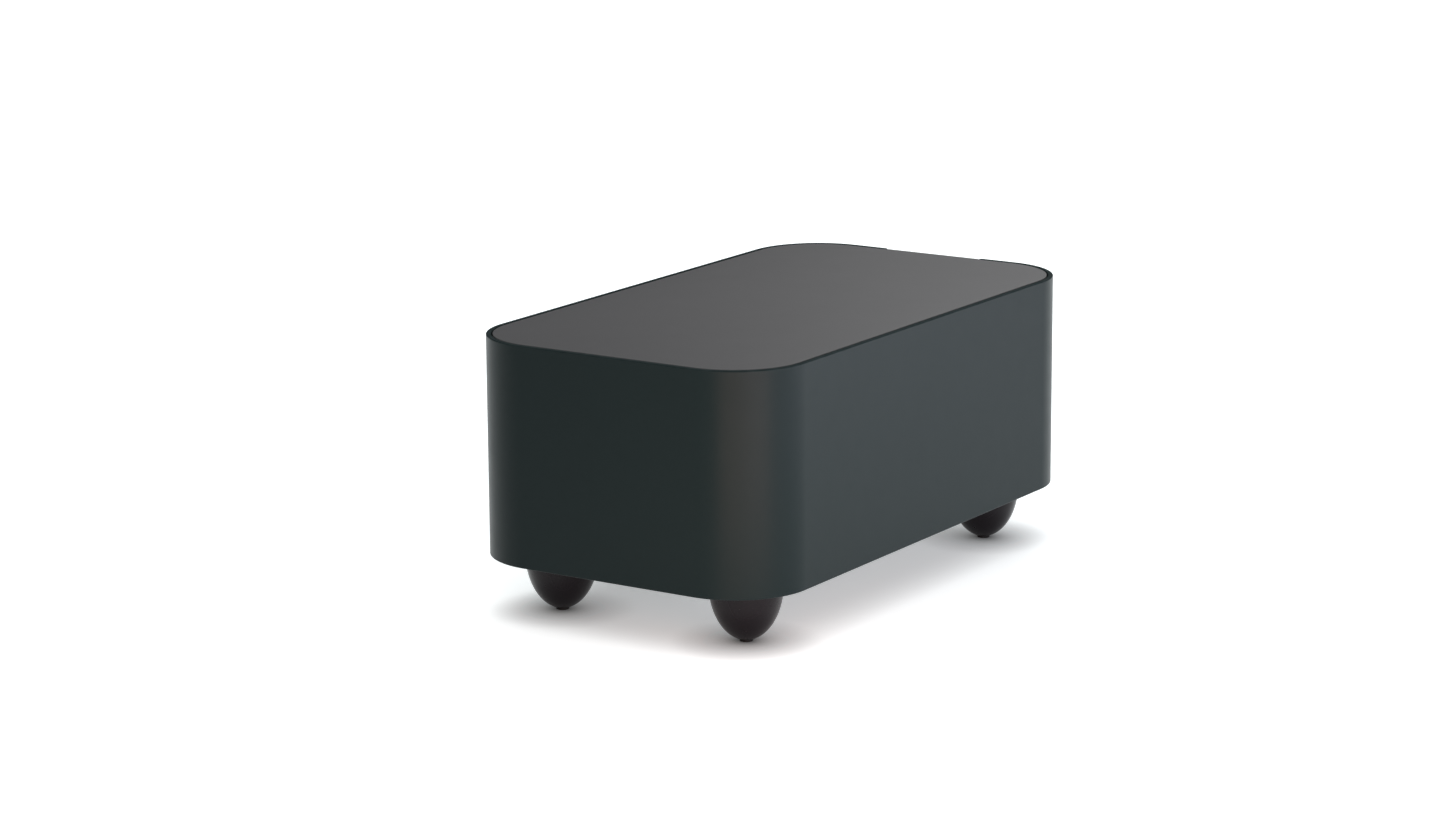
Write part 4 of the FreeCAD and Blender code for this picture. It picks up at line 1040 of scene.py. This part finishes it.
@dataclass(frozen=True)
class Screw:
    """A hexagon socket screw with a domed head. Each share is of the size that its comment names."""

    radius: float
    head_radius: float
    head_height: float
    socket_radius: float
    length: float
    tip_share: float = 0.8  # radius
    point_share: float = 0.3  # radius
    dome_share: float = 0.35  # head height
    dome_round: float = 0.9  # dome
    face_share: float = 1.5  # socket radius
    mouth_share: float = 1.12  # socket radius
    depth_share: float = 0.55  # head height
    mouth_bevel: float = 0.1 * MM
    cone: float = 0.25 * MM
    rim_round: float = 0.08 * MM
    face_round: float = 0.05 * MM
    hold: float = 0.03 * MM
    arc_steps: int = 6
    steps: int = 72

    def turn(self, surface: Surface, seat: Spot, facing: Facing) -> None:
        """Turn the screw, whose socket's lower rows have the reach of a hexagon: cos 30 over the cosine of
        the angle from the middle of the flat.

        Args:
            surface: The skin to add to.
            seat: The middle of the head's bearing face.
            facing: The way that the head faces.
        """
        top, dome = self.head_height, self.head_height * self.dome_share
        mouth = self.socket_radius * self.mouth_share
        body = rounded([
            (0, -self.length, 0), (self.radius * self.tip_share, -self.length, 0),
            (self.radius, -self.length + self.radius * self.point_share, 0), (self.radius, 0, 0),
            (self.head_radius, 0, self.rim_round), (self.head_radius, top - dome, dome * self.dome_round),
            (self.socket_radius * self.face_share, top, self.face_round), (mouth, top, 0)],
            steps=self.arc_steps, hold=self.hold)
        floor = top - top * self.depth_share
        socket = np.array([[mouth, top], [self.socket_radius, top - self.mouth_bevel],
                           [self.socket_radius, floor], [0, floor - self.cone]])
        angles = np.arange(self.steps) * (2 * math.pi / self.steps)
        hexagon = math.cos(math.pi / 6) / np.cos(np.mod(angles, math.pi / 3) - math.pi / 6)
        hexed = np.array([0.0, 1.0, 1.0, 1.0])[:, None]
        surface.add_turned(body, seat, facing, self.steps)
        surface.add_turned(socket, seat, facing, self.steps, 1 - hexed + hexed * hexagon[None])


@dataclass
class Fasteners(Assembly):
    """The screws that show under the bottom plate and on the panel."""

    sleeve_screw: Screw = Screw(1.5 * MM, 2.75 * MM, 1.8 * MM, 1.15 * MM, 6.0 * MM)
    panel_screw: Screw = Screw(1.5 * MM, 2.75 * MM, 1.8 * MM, 1.15 * MM, 5.5 * MM)
    pillar_screw: Screw = Screw(2.0 * MM, 3.9 * MM, 2.4 * MM, 1.45 * MM, 10.0 * MM)
    bracket_spacing: float = 60.0 * MM

    def build(self) -> None:
        """Make the screws that show."""
        screw, (low, high) = self.sleeve_screw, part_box("sleeve_screws")
        inset, seat = screw.head_radius, low.z + screw.head_height
        casing_middle = middle_of("casing_sleeve").y
        side, rear, front = high.x - inset, high.y - inset, low.y + inset
        spread = self.bracket_spacing / 2
        places = [(x, casing_middle + y) for x in (-side, side) for y in (-spread, spread)]
        places += [(-spread, rear), (spread, rear), (middle_of("sleeve_screws").x, front)]
        self.fit_group("sleeve_hold_down_screws", "sleeve_screws", screw,
                       [(x, y, seat) for x, y in places], Facing.DOWN)
        screw, (low, high) = self.pillar_screw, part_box("pillar_screws")
        inset, seat = screw.head_radius, low.z + screw.head_height
        self.fit_group("pillar_hold_down_screws", "pillar_screws", screw,
                       [(x, y, seat) for x in (low.x + inset, high.x - inset)
                        for y in (low.y + inset, high.y - inset)], Facing.DOWN)
        screw, (low, high) = self.panel_screw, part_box("panel_screws")
        inset, seat = screw.head_radius, high.y - screw.head_height
        self.fit_group("panel_hold_screws", "panel_screws", screw,
                       [(x, seat, (low.z + high.z) / 2) for x in (low.x + inset, high.x - inset)],
                       Facing.REAR)

    def fit_group(self, name: str, node: str, screw: Screw, seats: list[Spot], facing: Facing) -> None:
        """Make one screw at each seat.

        Args:
            name: The piece's name.
            node: The solids that they stand for.
            screw: The screw to repeat.
            seats: The middle of each head's bearing face.
            facing: The way that the heads face.
        """
        surface = Surface()
        for seat in seats:
            screw.turn(surface, seat, facing)
        self.shop.fit(name, surface, node)


@dataclass
class Viewpoint:
    """The camera, by the direction that it stands in and how its picture is framed. Angles are degrees."""

    azimuth: float = 33.1324
    elevation: float = 12.819
    roll: float = -0.3725
    distance: float = 1.5712
    aside: float = -0.02225
    above: float = 0.00105
    lens: float = 100.0
    sensor: float = 36.0
    nearest: float = 0.05
    farthest: float = 50.0

    def build(self) -> None:
        """Make the camera, aimed past the middle of the casing."""
        around, rise, lean = (math.radians(angle) for angle in (self.azimuth, self.elevation, self.roll))
        back = Vector((math.sin(around) * math.cos(rise), -math.cos(around) * math.cos(rise),
                       math.sin(rise)))
        right = Vector((math.cos(around), math.sin(around), 0))
        up = back.cross(right)
        place = middle_of("casing_sleeve") + back * self.distance + right * self.aside + up * self.above
        leaned_right = right * math.cos(lean) + up * math.sin(lean)
        leaned_up = up * math.cos(lean) - right * math.sin(lean)
        camera = put("camera", bpy.data.cameras.new("camera"))
        camera.data.lens = self.lens
        camera.data.sensor_width = self.sensor
        camera.data.clip_start, camera.data.clip_end = self.nearest, self.farthest
        turn = Matrix((leaned_right, leaned_up, back)).transposed()
        camera.matrix_world = Matrix.Translation(place) @ turn.to_4x4()
        bpy.context.scene.camera = camera


@dataclass(frozen=True)
class Softbox:
    """A flat lamp that stands at one point and faces another."""

    name: str
    place: Spot
    aim: Spot
    width: float
    height: float
    watts: float
    colour: Colour = (1.0, 1.0, 1.0)

    def build(self) -> None:
        """Stand the lamp up."""
        lamp = put(self.name, bpy.data.lights.new(self.name, "AREA"))
        lamp.data.shape = "RECTANGLE"
        lamp.data.size, lamp.data.size_y = self.width, self.height
        lamp.data.energy = self.watts
        lamp.data.color = self.colour
        lamp.visible_camera = False
        lamp.location = self.place
        lamp.rotation_mode = "QUATERNION"
        lamp.rotation_quaternion = (Vector(self.place) - Vector(self.aim)).to_track_quat("Z", "Y")


@dataclass
class Studio:
    """A wide white floor, a white backdrop that ends low, dim room light, one wide light and softboxes."""

    floor_half: float = 12.0
    floor_albedo: float = 0.5
    white_share: Colour = (0.955, 0.995, 1.0)
    shadow_lift: float = 0.38
    # How far the floor's painted contact shade reaches from what stands on it.
    contact_shade_reach: float = 20 * MM
    ambient: float = 0.10
    sweep_top: float = 0.03
    sweep_end: float = 0.10
    overhead: float = 2.4
    overhead_spread: float = 100.0
    lamps: tuple[Softbox, ...] = (
        Softbox("front_key", (0.186, -0.228, 0.06), (-0.01, 0.030, 0.06), 0.27, 0.12, 0.34,
                (1.0, 0.64, 0.52)),
        Softbox("side_key", (0.45, 0.06, 0.08), (0.0, 0.06, 0.08), 1.12, 0.16, 1.68, (0.87, 0.85, 1.0)),
        Softbox("rear_key", (-0.29, 1.00, 0.75), (0.0, 0.0, 0.10), 0.50, 0.40, 2.4),
    )

    def build(self) -> None:
        """Lay the floor, light the room and stand the lamps up."""
        self.lay_floor()
        self.light_room()
        for lamp in self.lamps:
            lamp.build()

    def lay_floor(self) -> None:
        """Lay a flat floor. Camera, glossy and transmission rays find it white, with painted contact shade
        darkening it close to what stands on it, and an emission of painted light that lifts the object's
        shadow except there. Other rays find a paler grey."""
        half = self.floor_half
        mesh = bpy.data.meshes.new("floor")
        corners = [(-half, -half, 0), (half, -half, 0), (half, half, 0), (-half, half, 0)]
        mesh.from_pydata(corners, [], [(0, 1, 2, 3)])
        floor = put("floor", mesh)
        material = bpy.data.materials.new("floor")
        material.use_nodes = True
        nodes = material.node_tree.nodes
        nodes.remove(nodes["Principled BSDF"])
        wiring = Wiring(material.node_tree)
        grey = wiring.add("BsdfDiffuse", {"Color": (self.floor_albedo,) * 3})
        # Ambient occlusion darkens the floor's white and its emission near what stands on it: painted
        # contact shade. The emission is painted light that lifts the object's shadow.
        contact = wiring.add("AmbientOcclusion", {"Color": self.white_share, "Distance": self.contact_shade_reach})
        white = wiring.add("BsdfDiffuse", {"Color": contact})
        lift = wiring.add("Emission", {"Strength": self.shadow_lift, "Color": contact})
        lifted = wiring.add("AddShader", {0: white, 1: lift})
        mix = wiring.add("MixShader", {"Fac": self._seen(wiring), 1: grey, 2: lifted})
        wiring.feed(nodes["Material Output"], {"Surface": mix})
        mesh.materials.append(material)

    @staticmethod
    def _seen(wiring: Wiring) -> Socket:
        """Make a value that is 1 for camera, glossy and transmission rays, and 0 for the others.

        Args:
            wiring: The nodes to add to.

        Returns:
            The socket that holds the value.
        """
        seen = wiring.add("LightPath", out="Is Camera Ray")
        path = seen.node.outputs
        for other in ("Is Glossy Ray", "Is Transmission Ray"):
            seen = wiring.calculate("MAXIMUM", seen, path[other])
        return seen

    def light_room(self) -> None:
        """Stand a low white backdrop all round, dimly light the room and hang a wide light above."""
        world = bpy.data.worlds.new("room")
        world.use_nodes = True
        wiring = Wiring(world.node_tree)
        way = wiring.add("TexCoord", out="Generated")
        level = wiring.ramp(wiring.add("SeparateXYZ", {0: way}, "Z"), (self.sweep_top, self.sweep_end),
                            (1.0, self.ambient), interpolation_type="SMOOTHSTEP")
        wiring.feed(world.node_tree.nodes["Background"], {"Color": (1, 1, 1), "Strength": level})
        bpy.context.scene.world = world
        overhead = put("overhead", bpy.data.lights.new("overhead", "SUN"))
        overhead.data.energy = self.overhead
        overhead.data.angle = math.radians(self.overhead_spread)


def main() -> None:
    """Build the camera and the studio, then each sub-assembly, and dress what is left."""
    logging.basicConfig(level=logging.INFO, format="%(name)s: %(message)s")
    bpy.context.scene.view_settings.view_transform = "Standard"
    Viewpoint().build()
    Studio().build()
    shop = Workshop()
    for assembly in (Casing, Feet, Sockets, GroundTerminal, Fasteners):
        assembly(shop).build()
    shop.dress_solids()


if __name__ == "__main__":
    main()
